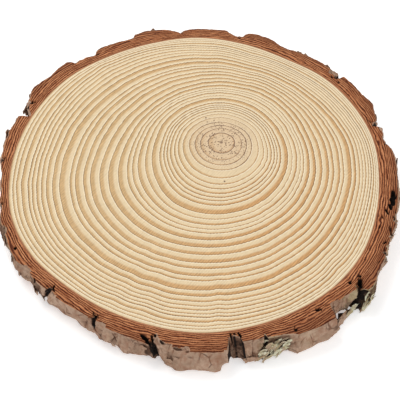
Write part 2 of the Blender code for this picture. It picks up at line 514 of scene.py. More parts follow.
# The wood reaches this far past its solid, to meet the bark without a gap.
WOOD_REACH = 0.18 * MM

ring_steps = np.array(
    [0.0] + [key + share for key, shares in enumerate(RING_SHARES) for share in shares]
)


def edge_from_pith(degrees):
    """Distance from the pith to the wood's edge, read off the outline seen from the pith."""
    fine = np.arange(0, 360, 0.25)
    rim = round_points(wood_radius(fine) + WOOD_REACH, fine, 0) + SHIFT - (*PITH, 0)
    angle = np.degrees(np.arctan2(rim[:, 1], rim[:, 0]))
    return np.interp(degrees, angle, np.hypot(rim[:, 0], rim[:, 1]), period=360)


print("rings:", len(ring_steps) - 1)

# %% [markdown]
# Rings also have small faults of their own: a kink that stays at one place for ten or more years.
# Noise alone would put it somewhere else on every ring. So each is a low bump with a bell shape at
# an angle of its own, which fades in with age and is gone at the edge.

# %% Kinks in the rings
# Angle round the pith, half width in degrees, size in millimetres, ring at which it starts. A kink
# needs a few years to come in, and all are gone a few years before the edge.
KINKS = (
    (249.5, 2.6, -0.8, 17), (256.0, 3.5, 0.6, 19), (241.5, 2.2, -0.6, 17), (268.6, 1.6, -0.8, 19),
    (305.0, 3.0, -0.9, 22), (285.0, 5.0, 0.8, 16), (236.0, 4.0, 0.7, 25), (195.0, 2.5, 0.8, 27),
    (12.0, 3.0, -0.5, 9), (75.0, 6.0, -0.8, 14), (92.0, 7.0, 0.6, 15), (140.0, 3.0, 0.7, 25),
)
FADE_IN = 6
FADE_OUT = 3
ROLL = 0.45 * MM


def kinked(age, degrees):
    """The sum of the kinks: size times a bell over the angle times how far it has come in."""
    total = np.zeros(np.broadcast(age, degrees).shape)
    for angle, half, size, start in KINKS:
        away = ((degrees - angle + 180) % 360 - 180) / half
        total += size * MM * np.exp(-away * away) * eased(age, start, start + FADE_IN)
    return total * (1 - eased(age, LAST_RING - FADE_OUT, LAST_RING))


def ring_radius(age, degrees):
    """Distance from the pith at which a tree of this age ended, in this direction: a blend of the
    key curves on both sides of it, plus the kinks and a slow roll that grows with the radius."""
    curves = [np.zeros_like(degrees)]
    curves += [closed_curve(values, degrees) * MM for values in KEY_RINGS.values()]
    curves += [edge_from_pith(degrees)]
    curves = np.array(curves)
    step = np.interp(age, np.arange(LAST_RING + 1), ring_steps)
    below = np.minimum(np.floor(step).astype(int), len(curves) - 2)
    share = (step - below)[:, None]
    radius = curves[below] * (1 - share) + curves[below + 1] * share
    inside = radius / curves[-1]
    roll = rough(degrees[None, :] / 360, age[:, None] / 5, cells=56, seed=5)
    roll *= ROLL * inside * (1 - inside**6)
    return radius + roll + kinked(age[:, None], degrees[None, :])


middle_ring = ring_radius(np.array([LAST_RING // 2]), np.arange(0.0, 360.0, 90.0))
print("half way in years, mm from the pith to each side:", np.round(middle_ring / MM, 1))

# %% [markdown]
# ## The disc of wood
# This is the pale middle of the slice, sawn on both sides. A plain cylinder would do for its form,
# but then its rings could only be painted on. So the grid's rows are the rings themselves, with one
# or two more rows inside each ring, and the fine relief that sanding leaves can follow them: the
# soft early wood lies lower than the hard late wood. The lower face has the same rings, because
# they run straight through the slice.

# %% The disc of wood
WOOD_COLUMNS = 480
UPPER_STEPS = (0.4, 0.8, 1.0)
LOWER_STEPS = (0.5, 1.0)
RELIEF = 0.02 * MM
UNEVEN = 0.06 * MM
EDGE_EASE = 0.12 * MM
LOWER_FACE = 0.1 * MM

wood_angles = np.arange(WOOD_COLUMNS) * 360 / WOOD_COLUMNS


def wood_face(steps, height, up):
    """Rows of points on a sawn face: the rings' curves, raised on late wood and lowered on early
    wood, plus a slow unevenness. The last row drops a little, to soften the edge."""
    age = (np.arange(LAST_RING)[:, None] + np.array(steps)).ravel()
    radius = ring_radius(age, wood_angles)
    lift = RELIEF * (2 * (age % 1 == 0) - 1)[:, None] * np.ones_like(radius)
    lift += UNEVEN * rough(wood_angles[None, :] / 360, radius * 90, cells=30, seed=15)
    lift[-1] = -EDGE_EASE
    return age, round_points(radius, wood_angles, height + up * lift) + (*PITH, 0)


upper_age, upper_rows = wood_face(UPPER_STEPS, THICKNESS, 1)
lower_age, lower_rows = wood_face(LOWER_STEPS, LOWER_FACE, -1)
lower_rows[..., 2] = np.maximum(lower_rows[..., 2], 0)
wall_rows = upper_rows[-1:] - (0, 0, THICKNESS / 2)
wood = skin("sawn_wood", np.vstack([upper_rows, wall_rows, lower_rows[::-1]]),
            np.array([[*PITH, THICKNESS]]), np.array([[*PITH, LOWER_FACE]]))
print("wood:", len(wood.data.vertices), "points,", len(wood.data.polygons), "faces")

# %% [markdown]
# What the finish must know is kept on the mesh: for every point the age of the wood and its way
# from the pith, and for every face how wide its ring is and how much of it is late wood, and how
# dark. Some years end in a broad brown band and others in a hair line. On the left, where the tree
# grew fastest, all bands are broad and much alike.

# %% What the wood's finish needs to know
# Share of each ring that is late wood, and how dark it ends.
LATE_WOOD = (
    (0.10, 1.60), (0.12, 0.60), (0.16, 0.62), (0.13, 0.70), (0.12, 0.50), (0.18, 0.50),
    (0.20, 0.75), (0.35, 0.75), (0.32, 0.95), (0.32, 0.85), (0.45, 0.90), (0.56, 0.95),
    (0.18, 0.45), (0.36, 0.80), (0.18, 0.50), (0.28, 0.70), (0.50, 0.90), (0.50, 0.95),
    (0.42, 0.70), (0.45, 0.75), (0.42, 0.75), (0.40, 0.72), (0.34, 0.75), (0.54, 0.90),
    (0.50, 0.95), (0.36, 0.65), (0.28, 0.55), (0.36, 0.70), (0.28, 0.60), (0.38, 1.15),
    (0.46, 0.75), (0.26, 0.55), (0.26, 0.55), (0.14, 0.20),
)
# For every 30 degrees: how much the late wood is alike in all rings, and how warm its colour is.
ALIKE_BY_SIDE = (0.1, 0.05, 0.05, 0.05, 0.15, 0.45, 0.65, 0.65, 0.35, 0.15, 0.1, 0.1)
ALIKE_LATE = 0.56
ALIKE_DARK = 0.78
WARM_BY_SIDE = (0.6, 0.4, 0.3, 0.3, 0.3, 0.1, 0.0, 0.05, 0.35, 0.8, 1.0, 0.8)
# Stretches where a ring ends darker, with resin: ring, middle angle, half the angle, how much.
RESIN = (
    (3, 317, 22, 2.4), (4, 309, 14, 2.2), (4, 118, 16, 1.4), (3, 95, 14, 1.2),
    (2, 170, 40, 1.0), (3, 200, 30, 1.0), (4, 15, 25, 1.2), (3, 30, 30, 1.0),
    (9, 215, 60, 0.2), (30, 200, 70, 0.4),
)
LEAST_WIDTH = 0.3  # in millimetres, because the finish divides by it
TINY = 1e-6

# For every point, row by row as the mesh was built. The last two are the middles of both faces.
ages = np.concatenate([
    np.repeat(upper_age, WOOD_COLUMNS), np.full(WOOD_COLUMNS, LAST_RING),
    np.repeat(lower_age[::-1], WOOD_COLUMNS), [0, 0],
])
row_angles = np.tile(wood_angles, len(upper_age) + 1 + len(lower_age))
note(wood, "age", ages)
note(wood, "alike", np.concatenate([closed_curve(ALIKE_BY_SIDE, row_angles), [0, 0]]))
note(wood, "warm", np.concatenate([closed_curve(WARM_BY_SIDE, row_angles), [0, 0]]))

points = np.zeros(len(wood.data.vertices) * 3, np.float32)
wood.data.vertices.foreach_get("co", points)
from_pith = points.reshape(-1, 3)[:, :2] - PITH
reach = np.hypot(*from_pith.T)
direction = from_pith / np.maximum(reach, TINY * MM)[:, None]
note(wood, "ray", np.column_stack([direction, reach / MM]))

# For every face: its ring, from the latest age at its corners, and what the ring is like there.
first_corners = np.zeros(len(wood.data.polygons), np.int32)
wood.data.polygons.foreach_get("loop_start", first_corners)
corner_points = np.zeros(len(wood.data.loops), np.int32)
wood.data.loops.foreach_get("vertex_index", corner_points)
latest = np.maximum.reduceat(ages[corner_points], first_corners)
ring_of_face = np.clip(np.ceil(latest - TINY).astype(int) - 1, 0, LAST_RING - 1)
late, dark = np.array(LATE_WOOD)[ring_of_face].T
face_angle = np.concatenate([row_angles, [0, 0]])[corner_points[first_corners]]
for ring, middle, half, more in RESIN:
    away = np.abs((face_angle - middle + 180) % 360 - 180) / half
    dark = dark + (ring_of_face == ring - 1) * more * np.exp(-away * away)
widths = np.diff(ring_radius(np.arange(LAST_RING + 1), wood_angles), axis=0) / MM
column_of_face = np.round(face_angle / 360 * WOOD_COLUMNS).astype(int) % WOOD_COLUMNS
note(wood, "late", late, "FACE")
note(wood, "dark", dark, "FACE")
note(wood, "wide", np.maximum(widths[ring_of_face, column_of_face], LEAST_WIDTH), "FACE")
print("mean share of late wood:", round(float(np.mean(LATE_WOOD, axis=0)[0]), 2))

# %% [markdown]
# ## The wood's finish
# Inside each ring the colour goes from cream to tan and ends in a thin brown line, and the next
# ring starts bright. The heart is a little cooler and has dark specks of resin. Over that lie the
# short rays that all wood has, fine fibres and the faint slanting marks of the saw. A wave texture
# could draw rings, but all alike. Here the age at each place says where in its year it lies, so
# every ring has its own width and tone.

# %% The wood's finish
BRIGHT = shade(249, 234, 204)
CREAM = shade(231, 208, 169)
TAN = shade(205, 170, 122)
WARM_TAN = shade(205, 157, 104)
BROWN = shade(128, 92, 56)
HEART = shade(247, 240, 240)
RESIN_BROWN = shade(112, 82, 66)
CAMBIUM = shade(186, 134, 100)
# Places and size of the largest specks, in millimetres.
SPECKS = (
    (4.6, 47.6, 0.8), (14.7, 13.7, 0.7), (16.3, -5.3, 0.8), (10.0, 45.2, 0.6),
    (24.1, 34.6, 0.6), (30.4, 27.6, 0.7), (5.5, 44.0, 0.6), (21.5, 17.5, 0.6),
)
SAW_STEP = 1.5 * MM
SAW_TURN = -51  # degrees between the saw marks and the front


def wood_finish():
    """Smooth pale wood. Widths and distances along a ring are in millimetres."""
    f = Finish("sanded pine", roughness=0.62, specular=0.25)
    place = f.place()
    ray = f.noted("ray", vector=True)
    radius = f.part(ray, "Z")
    wide = f.noted("wide")

    # Saw marks: stripes, pushed to and fro by noise that is long along them.
    slanting = f.turned(place, SAW_TURN)
    wander = f.grain(f.stretched(slanting, (30, 160, 30)), 1.0, 3, 0.6)
    stripes = f.times(f.part(slanting, "Y"), 2 * math.pi / SAW_STEP)
    saw = f.scaled(f.calculate("SINE", f.scaled(wander, 9.0, stripes)), 0.5, 0.5)

    # Where in its year each place lies. The rays and the saw make that shiver a little.
    fuzz = f.grain(f.stretched(ray, (26, 26, 0.25)), 1.0, 3, 0.6)
    shiver = f.plus(f.swing(fuzz, 0.4), f.swing(saw, 0.16))
    age = f.plus(f.noted("age"), f.over(shiver, wide))
    since = f.calculate("FRACT", age)
    grown = f.times(since, wide)
    to_end = f.less(wide, grown)

    # How much of the ring is late wood, how dark that is, and how far into it the place lies.
    alike = f.noted("alike")
    late = f.scaled(alike, ALIKE_LATE, f.times(f.noted("late"), f.less(1.0, alike)))
    patchy = f.between(f.grain(f.stretched(ray, (3, 3, 0.05)), 1.0, 2), 0.3, 0.7, 0.85, 1.12)
    dark = f.scaled(alike, ALIKE_DARK, f.times(f.noted("dark"), f.less(patchy, alike)))
    into = f.over(f.less(since, f.less(1.0, late)), late)

    # The band of late wood, the thin line that ends it, and the bright start of the next year.
    heart = f.between(radius, 10, 30, 1.0, 0.0)
    band = f.times(f.between(into, -0.25, 0.32), f.between(dark, 0.0, 0.85, 0.3, 1.0))
    band = f.times(band, f.less(1.0, f.times(heart, 0.5)))
    colour = f.blend(band, CREAM, f.blend(f.noted("warm"), TAN, WARM_TAN))
    line = f.times(f.between(to_end, 0.2, 0.75, 1.0, 0.0), f.between(dark, 0.1, 1.3, 0.15, 1.0))
    colour = f.blend(line, colour, f.blend(heart, BROWN, RESIN_BROWN))
    fresh = f.times(f.between(grown, 0.05, 1.0, 1.0, 0.0), 0.9)
    fresh = f.times(fresh, f.between(heart, 0.0, 1.0, 1.0, 0.3))
    colour = f.blend(fresh, colour, BRIGHT)
    colour = f.blend(heart, colour, f.blend(1.0, colour, HEART, "MULTIPLY"))

    # Specks of resin, crowded round the pith, a few larger ones, and the pith itself.
    specks = f.between(f.cells(place, 800), 0.22, 0.46, 1.0, 0.0)
    specks = f.times(specks, f.between(f.grain(place, 260, 2), 0.40, 0.52))
    specks = f.times(specks, f.between(radius, 9, 25, 0.95, 0.05))
    for x, y, size in SPECKS:
        speck = f.near(place, (x * MM, y * MM, THICKNESS), size * MM)
        specks = f.calculate("MAXIMUM", specks, speck)
    pith = f.between(f.plus(radius, f.times(fuzz, 2.0)), 1.5, 2.6, 0.8, 0.0)
    colour = f.blend(f.calculate("MAXIMUM", specks, pith), colour, RESIN_BROWN)

    # Rays, saw marks and fibres, which lighten and darken what lies under them.
    rays = f.between(f.grain(f.stretched(ray, (60, 60, 0.10)), 1.0, 2), 0.35, 0.65, 0.985, 1.01)
    uneven = f.between(f.grain(place, 45, 3), 0.35, 0.65, 0.35, 1.0)
    deep = f.times(f.scaled(band, 0.20, 0.10), uneven)
    marks = f.scaled(f.less(saw, 0.45), deep, 1.0)
    fibres = f.grain(f.stretched(slanting, (300, 1100, 300)), 1.0, 2, 0.6)
    fibres = f.times(f.less(fibres, 0.5), f.scaled(band, 0.35, 0.3))
    colour = f.blend(1.0, colour, f.times(rays, f.plus(marks, fibres)), "MULTIPLY")

    # The living layer, a hair's breadth of brown next to the bark.
    from_edge = f.times(f.less(float(LAST_RING), f.noted("age")), wide)
    from_edge = f.plus(from_edge, f.times(f.grain(place, 420, 3), 0.8))
    colour = f.blend(f.between(from_edge, 0.35, 0.85, 0.8, 0.0), colour, CAMBIUM)

    height = f.plus(f.times(band, 0.15), f.times(saw, 0.6))
    return f.finish(colour, f.relief(height, 0.04 * MM, 0.5))


wood.data.materials.append(wood_finish())
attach(wood, "root")
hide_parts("wood")
print("finish:", wood.data.materials[0].name)

# %% [markdown]
# ## The bark's own outline
# Seen from above, the edge of the bark is a row of plates: each runs almost straight for a
# centimetre or two and then ends at a notch or a step. A smooth curve would round them off. So the
# lip is given as corners, an angle and a radius for each, and straight lines between them keep the
# corners sharp. It follows the solid's smoother edge. From the deepest notches a fissure runs down
# the side, mostly at a slant. Near the foot some plates stand out, and in places the foot is
# broken away.

# %% Corners of the lip
# Angle round the slice and distance from its middle in millimetres.
LIP = (
    (2.0, 127.4), (8.0, 128.0), (11.0, 127.6), (13.0, 125.7), (15.6, 124.6), (16.6, 126.6),
    (19.6, 127.4), (20.4, 124.2), (21.6, 124.6), (22.2, 127.4), (25.4, 129.6), (28.4, 132.1),
    (33.0, 131.0), (38.6, 132.0), (41.3, 131.6), (41.7, 127.2), (42.5, 127.0), (43.3, 129.6),
    (44.3, 131.2), (46.4, 130.4), (50.4, 131.0), (54.0, 130.4), (57.3, 129.7), (60.5, 128.9),
    (64.0, 129.0), (66.2, 131.2), (68.4, 132.6), (71.8, 133.1), (74.4, 132.4), (75.5, 130.6),
    (75.9, 128.5), (78.0, 129.0), (79.9, 130.4), (81.7, 132.3), (86.0, 131.9), (91.6, 132.1),
    (94.4, 130.8), (95.6, 128.8), (97.0, 130.4), (99.4, 132.8), (102.0, 134.2), (106.2, 134.9),
    (109.4, 134.0), (110.3, 131.4), (111.4, 131.0), (114.6, 131.7), (119.0, 132.2),
    (122.0, 132.0), (123.5, 129.0), (124.4, 128.8), (126.6, 130.4), (130.4, 131.2),
    (131.1, 134.2), (132.2, 135.3), (135.0, 134.7), (139.0, 133.6), (142.0, 134.3),
    (145.0, 135.6), (147.0, 134.6), (149.0, 132.2), (151.6, 130.3), (153.2, 128.2),
    (154.0, 126.2), (155.1, 124.4), (155.7, 124.4), (156.1, 128.6), (156.6, 130.3),
    (158.0, 130.1), (160.0, 129.6), (163.0, 130.4), (164.2, 129.2), (166.0, 129.9),
    (170.0, 129.0), (172.6, 128.5), (173.2, 126.2), (174.4, 127.6), (178.0, 126.0),
    (183.0, 125.7), (184.0, 124.9), (189.0, 126.4), (190.6, 125.0), (193.0, 126.9),
    (196.4, 127.7), (198.2, 125.8), (200.0, 127.0), (205.0, 127.5), (209.8, 128.2),
    (212.0, 125.8), (214.0, 124.5), (217.4, 125.1), (220.0, 124.7), (222.7, 124.0),
    (223.1, 120.9), (223.8, 121.0), (224.2, 123.6), (225.6, 124.0), (228.0, 123.1),
    (232.0, 122.3), (235.0, 121.9), (238.6, 121.9), (239.2, 119.6), (240.0, 119.8),
    (240.5, 123.2), (245.0, 123.3), (251.0, 123.9), (254.8, 124.8), (256.4, 125.4),
    (256.9, 124.2), (257.2, 121.8), (258.2, 121.8), (258.9, 123.8), (260.2, 125.0),
    (263.0, 126.7), (268.0, 127.0), (273.0, 127.4), (277.5, 128.0), (278.0, 124.6),
    (278.5, 118.7), (279.3, 117.4), (280.6, 117.6), (281.8, 119.2), (282.2, 122.8),
    (285.0, 122.8), (288.1, 123.2), (288.4, 121.0), (288.8, 121.0), (289.1, 123.8),
    (293.0, 125.2), (295.9, 127.2), (297.0, 129.2), (300.0, 130.0), (303.0, 131.1),
    (307.8, 131.7), (308.8, 127.6), (309.6, 124.3), (313.0, 124.1), (317.0, 125.4),
    (318.5, 126.6), (318.8, 124.4), (319.3, 124.6), (319.7, 129.4), (320.3, 132.4),
    (321.8, 133.0), (324.2, 131.8), (326.0, 131.0), (328.7, 129.4), (331.0, 129.2),
    (332.4, 128.4), (332.9, 126.0), (333.5, 128.2), (334.8, 127.8), (335.3, 126.3),
    (335.9, 127.7), (338.2, 127.5), (338.7, 126.0), (339.4, 127.2), (341.6, 127.5),
    (343.0, 128.1), (344.2, 127.8), (344.8, 126.4), (345.3, 127.4), (346.0, 127.0),
    (349.0, 127.1), (353.0, 126.9), (357.0, 127.0),
)
# The fissures that run down the side: angle at the lip, half their width in degrees, and the
# degrees that they lean by on their way down.
LEANS = (
    (21.0, 1.6, 1.5), (42.0, 1.3, -2.0), (77.4, 2.4, 0.5), (95.7, 1.2, 2.0), (110.2, 1.2, -1.0),
    (123.8, 1.4, 1.0), (142.0, 1.0, 1.5), (155.5, 1.4, -2.0), (173.4, 1.2, 1.0),
    (190.6, 1.4, -1.0), (198.4, 1.2, 1.5), (213.6, 1.6, 2.5), (223.4, 1.0, -2.0),
    (239.6, 1.1, 1.5), (257.6, 1.2, 1.6), (280.3, 2.0, 0.6), (288.6, 0.8, -2.3),
    (309.6, 1.2, 1.5), (319.1, 1.1, -2.8), (332.9, 1.0, 2.0), (345.0, 1.2, 1.5),
)
# Middle angle, half the angle and size in millimetres of plates that stand out at their foot, and
# of places where the foot is broken away.
FLARES = (
    (29.0, 7.0, 1.5), (52.0, 8.5, 2.0), (103.0, 7.0, 2.0), (137.0, 6.0, 1.5), (181.0, 12.0, -1.5),
    (208.0, 8.0, -2.0), (226.0, 10.0, -1.5), (247.0, 7.0, 1.5), (267.5, 9.5, 3.5),
    (280.3, 2.2, 7.0), (286.2, 5.0, 5.4), (299.5, 9.5, 2.5), (313.5, 4.5, -0.8),
    (319.1, 0.9, -2.0), (322.6, 3.2, -0.6), (328.0, 3.0, -1.6), (337.0, 14.0, -3.5),
)
CHIPS = (
    (15.0, 6.0, 3.0), (43.0, 6.0, 2.5), (80.0, 8.0, 3.5), (121.0, 7.0, 2.5), (155.0, 6.0, 4.0),
    (186.0, 7.0, 2.5), (213.0, 6.0, 3.5), (224.0, 4.0, 2.5), (242.0, 5.0, 3.0), (258.0, 3.0, 1.5),
    (276.6, 1.6, 4.0), (281.0, 2.5, 0.4), (293.0, 4.0, 2.0), (312.0, 4.5, 4.0), (334.0, 5.0, 2.5),
    (352.0, 6.0, 3.0),
)
NEIGHBOUR_REACH = 2.0  # degrees to either side where a plate counts as the neighbour of a notch
NEIGHBOUR_STEPS = 9
SLOPE_STEP = 0.15  # degrees


def across(degrees, middle, half):
    """How far each angle is from the middle of a stretch: 0 there and 1 at the stretch's ends."""
    return np.minimum(np.abs((degrees - middle + 180) % 360 - 180) / half, 1)


def humps(degrees, rows):
    """The sum of broad humps, each flat in its middle and steep at its ends: 1 less the fourth
    power of the way from the middle to the end."""
    return sum(
        size * MM * (1 - across(degrees, middle, half) ** 4) for middle, half, size in rows
    )


def lip_radius(degrees):
    """Distance of the lip from the middle: straight lines between its corners."""
    return np.interp(degrees, [row[0] for row in LIP], [row[1] * MM for row in LIP], period=360)


def lean(degrees):
    """Degrees from the head of the bark to its foot: the same over the width of a fissure, and
    changing evenly to the next one."""
    ends = [middle + side * half for middle, half, _ in LEANS for side in (-1, 1)]
    return np.interp(degrees, ends, [row[2] for row in LEANS for _ in (0, 1)], period=360)


def in_fissure(degrees):
    """How far inside a fissure each angle lies: 0 outside and 1 in its middle."""
    return np.max([1 - across(degrees, middle, half) for middle, half, _ in LEANS], axis=0)


def set_back(degrees):
    """How far the lip lies back, in metres, behind the plates on both its sides: the lower one of
    the highest points near by to the left and to the right, less the lip itself."""
    steps = np.linspace(0, NEIGHBOUR_REACH, NEIGHBOUR_STEPS)
    left = np.max([lip_radius(degrees - step) for step in steps], axis=0)
    right = np.max([lip_radius(degrees + step) for step in steps], axis=0)
    return np.minimum(left, right) - lip_radius(degrees)


def steepness(degrees):
    """How fast the lip's radius changes along the ring, in millimetres per degree."""
    rise = lip_radius(degrees + SLOPE_STEP) - lip_radius(degrees - SLOPE_STEP)
    return np.abs(rise) / (2 * SLOPE_STEP) / MM


print("corners:", len(LIP), "fissures:", len(LEANS))

# %% [markdown]
# ## The outside of the bark
# The weathered side of the slice. Pushing a wall out by soft noise would give lumps like clay, but
# dry bark breaks, so its form is put together from what it does. On its way down each column of
# points leans with the fissures, swells like a belly, and spreads or shrinks towards the foot.
# Over that lie the flakes: a scatter of scales, taller than wide, each a little higher or lower
# than its neighbour with a thin gap between, and upright furrows. Three plates stayed smooth.
# Where the lichen sits at the front right the bark has parted into slanting shingles, and inside a
# fissure it is rubble.

# %% The outside of the bark
# Waves around the slice, waves down its side, phase in degrees and height in millimetres.
SWELLS = (
    (29, 0.6, 40.0, 0.45), (47, -1.1, 200.0, 0.35), (71, 1.7, 310.0, 0.3), (23, 2.3, 120.0, 0.3),
)
LEAST_BARK = 2.6 * MM
# How far the side swells in millimetres, at shares of the height from the foot up.
BELLY_SHARES = (0.0, 0.28, 0.44, 0.62, 0.8, 0.95, 1.0)
BELLY = (0.0, 0.8, 1.2, 1.2, 0.9, 0.4, 0.0)
# Middle angle and half the angle of smooth plates, and of shingled patches.
SMOOTH_PLATES = ((270.5, 7.0), (302.2, 6.5), (231.0, 6.0))
SHINGLES = ((290.4, 4.2), (322.4, 3.2))
MEAN_RADIUS = 127 * MM
SHINGLE_STEP = 2.7 * MM
SHINGLE_RISE, SHINGLE_FALL = 0.62, 0.78  # sine and cosine of their slant
SHINGLE_BEND = 1.6 * MM
# Heights in millimetres.
BROAD_FLAKES, BROAD_GAPS = 0.50, 0.45
FINE_FLAKES, FINE_GAPS = 0.20, 0.12
FURROWS = 0.28
RUBBLE = 1.0
SHINGLE_HEIGHT = 1.7
# Shares: how much of the flakes is gone on a smooth plate and under shingles, and how much is left
# at the lip. The broad scales are bent by so much of a turn.
SMOOTHED, SHINGLED_OVER, LEFT_AT_LIP = 0.75, 0.6, 0.30
SCALE_BEND = 0.0008


def masks(degrees, rows):
    """1 in the middle of each stretch, falling to 0 at its ends with an S curve."""
    near = np.max([1 - across(degrees, middle, half) for middle, half in rows], axis=0)
    return eased(near, 0.0, 0.35)


def shingle_phase(degrees, height):
    """Counts the shingles along a slanting line: whole numbers are their lower edges."""
    along = np.radians(degrees) * MEAN_RADIUS
    bend = SHINGLE_BEND * rough(degrees / 360, height / (9 * MM), cells=90, seed=43, layers=2)
    return (along * SHINGLE_RISE - height * SHINGLE_FALL + bend) / SHINGLE_STEP


def bark_outside(columns, at, share):
    """Radius of the outside, and the height of its flakes in millimetres, which the finish
    lightens and darkens by. The bark's thickness at the lip goes with its column. What swells,
    furrows and flakes goes with the angle that the column has reached on its way down."""
    turn = at / 360
    bark = lip_radius(columns) - wood_radius(columns)
    bark = bark + np.interp(share, BELLY_SHARES, BELLY) * MM + humps(columns, FLARES) * (1 - share)
    for waves, down, phase, size in SWELLS:
        wave = np.sin(np.radians(waves * at + phase) + down * share * 2 * math.pi)
        bark = bark + size * MM * eased(share, 1.0, 0.8) * wave
    bent = turn + SCALE_BEND * rough(turn, share * 5, cells=200, seed=25)
    gap, number = scales(bent, share * 2.2 + 9, cells=120, seed=31)
    flake = BROAD_FLAKES * number - BROAD_GAPS * (1 - eased(gap, 0.0, 0.14))
    gap, number = scales(turn, share * 6.0 + 3, cells=330, seed=37)
    flake += FINE_FLAKES * number - FINE_GAPS * (1 - eased(gap, 0.0, 0.2))
    flake += FURROWS * rough(turn, share * 1.6, cells=420, seed=41)
    flake *= 1 - SMOOTHED * masks(at, SMOOTH_PLATES)
    rubble = RUBBLE * rough(turn, share * 9, cells=420, seed=47)
    flake += rubble * eased(in_fissure(columns), 0.1, 0.5)
    shingled = masks(at, SHINGLES)
    step = shingle_phase(at, share * THICKNESS) % 1
    flake *= 1 - SHINGLED_OVER * shingled
    flake += SHINGLE_HEIGHT * shingled * (step**1.5 - 0.45)
    flake *= LEFT_AT_LIP + (1 - LEFT_AT_LIP) * eased(share, 1.0, 0.86)
    return wood_radius(at) + np.maximum(bark + flake * MM, LEAST_BARK), flake


print("shingles are", SHINGLE_STEP / MM, "mm apart")

# %% [markdown]
# ## Holes and broken corners in the sawn face
# Where a fissure reaches the sawn face it ends in a star of short cracks, and here and there a
# pocket opened between two layers. They could be cut out with a Boolean modifier, but that leaves
# long thin faces round every hole. So each is one or more slanting ovals with a ragged rim, in
# which the sawn face sinks. In a few places the corner of a plate broke off, and the old grey
# surface shows below the cut.

# %% Holes and broken corners
# Angle round the slice, distance from its middle, length and width of the oval, the slant of its
# length against the ring's own direction in degrees, and depth. Lengths in millimetres.
HOLES = (
    (155.5, 125.0, 3.4, 1.2, 80, 4.0), (150.2, 127.6, 4.6, 1.8, 35, 3.0),
    (152.2, 128.6, 2.2, 1.4, 0, 2.2), (173.0, 126.4, 3.4, 1.3, 20, 3.0),
    (189.3, 124.9, 1.6, 1.2, 0, 2.0), (198.0, 127.0, 2.0, 1.2, 30, 2.0),
    (205.9, 124.5, 2.2, 1.7, 20, 2.5), (218.4, 125.2, 3.4, 0.9, 25, 2.2),
    (223.7, 119.6, 3.0, 1.2, 65, 3.0), (223.4, 122.4, 3.4, 1.2, 85, 3.0),
    (224.4, 120.9, 2.6, 0.9, 10, 2.0), (222.3, 122.0, 2.2, 0.8, -35, 1.6),
    (239.6, 118.9, 4.6, 1.1, 12, 3.0), (238.4, 117.8, 2.6, 0.8, 50, 2.0),
    (240.1, 117.4, 2.6, 0.8, -60, 2.0), (239.9, 120.8, 3.6, 1.3, 86, 3.4),
    (240.3, 123.2, 2.4, 1.0, 60, 2.4), (238.6, 121.0, 2.6, 0.7, -30, 1.6),
    (255.8, 122.4, 9.0, 2.3, 33, 5.5), (257.2, 121.0, 3.0, 1.4, 80, 4.0),
    (257.7, 118.2, 1.6, 1.4, 0, 2.4), (256.9, 119.4, 2.8, 1.2, 70, 2.8),
    (260.0, 121.6, 3.2, 1.0, 30, 2.0), (264.6, 124.8, 6.0, 1.3, 8, 1.6),
    (267.0, 126.0, 2.2, 1.0, 0, 1.3), (296.8, 125.6, 1.9, 2.0, 20, 2.5),
    (297.0, 123.6, 2.4, 0.7, 70, 1.6), (279.3, 117.0, 3.2, 1.2, 84, 3.0),
    (281.8, 118.0, 3.6, 1.1, 66, 3.0), (280.5, 116.7, 2.2, 0.9, 30, 2.0),
    (305.9, 121.2, 4.2, 1.3, 12, 2.8), (305.5, 120.6, 2.6, 0.9, 75, 2.4),
    (306.4, 122.2, 2.0, 0.8, -50, 1.8), (308.6, 121.6, 4.0, 0.7, 12, 1.2),
    (318.9, 120.8, 2.4, 1.7, 0, 2.4), (320.2, 121.6, 2.0, 0.8, 30, 1.5),
    (320.6, 125.3, 8.6, 2.9, -35, 6.5), (322.3, 121.9, 2.6, 1.6, 60, 2.6),
    (344.9, 118.9, 2.2, 1.2, -20, 1.8), (341.0, 118.7, 2.6, 1.0, 10, 1.6),
    (340.6, 126.0, 6.4, 1.2, -25, 3.0), (345.6, 125.8, 3.2, 0.9, -30, 2.4),
    (336.2, 124.8, 2.6, 1.1, 20, 2.4), (334.0, 126.4, 3.6, 0.8, -30, 2.2),
    (347.6, 126.0, 2.2, 0.9, -10, 2.0), (329.5, 127.0, 2.6, 0.8, 20, 1.8),
    (353.6, 124.0, 5.6, 2.9, -8, 4.0), (351.3, 123.6, 5.6, 3.1, -12, 4.0),
    (349.3, 122.5, 4.6, 2.2, -26, 3.6), (347.2, 120.9, 4.4, 1.6, -30, 3.0),
    (13.0, 124.9, 2.4, 1.4, 40, 2.4), (20.8, 124.4, 3.4, 1.8, 40, 3.2),
    (22.2, 122.8, 2.8, 1.4, -20, 2.6), (23.4, 121.8, 1.8, 1.0, 0, 1.8),
    (42.6, 126.8, 3.0, 1.8, 20, 2.8), (43.6, 125.0, 2.6, 1.3, 0, 2.2),
    (40.6, 125.0, 2.4, 1.0, 80, 2.4), (76.8, 126.0, 3.0, 1.0, 40, 2.0),
    (95.2, 128.6, 2.0, 1.2, 60, 2.0), (122.9, 128.2, 2.2, 1.3, 0, 2.2),
    (110.2, 130.4, 1.8, 1.0, 70, 1.6), (131.2, 130.4, 2.0, 1.0, 60, 1.6),
)
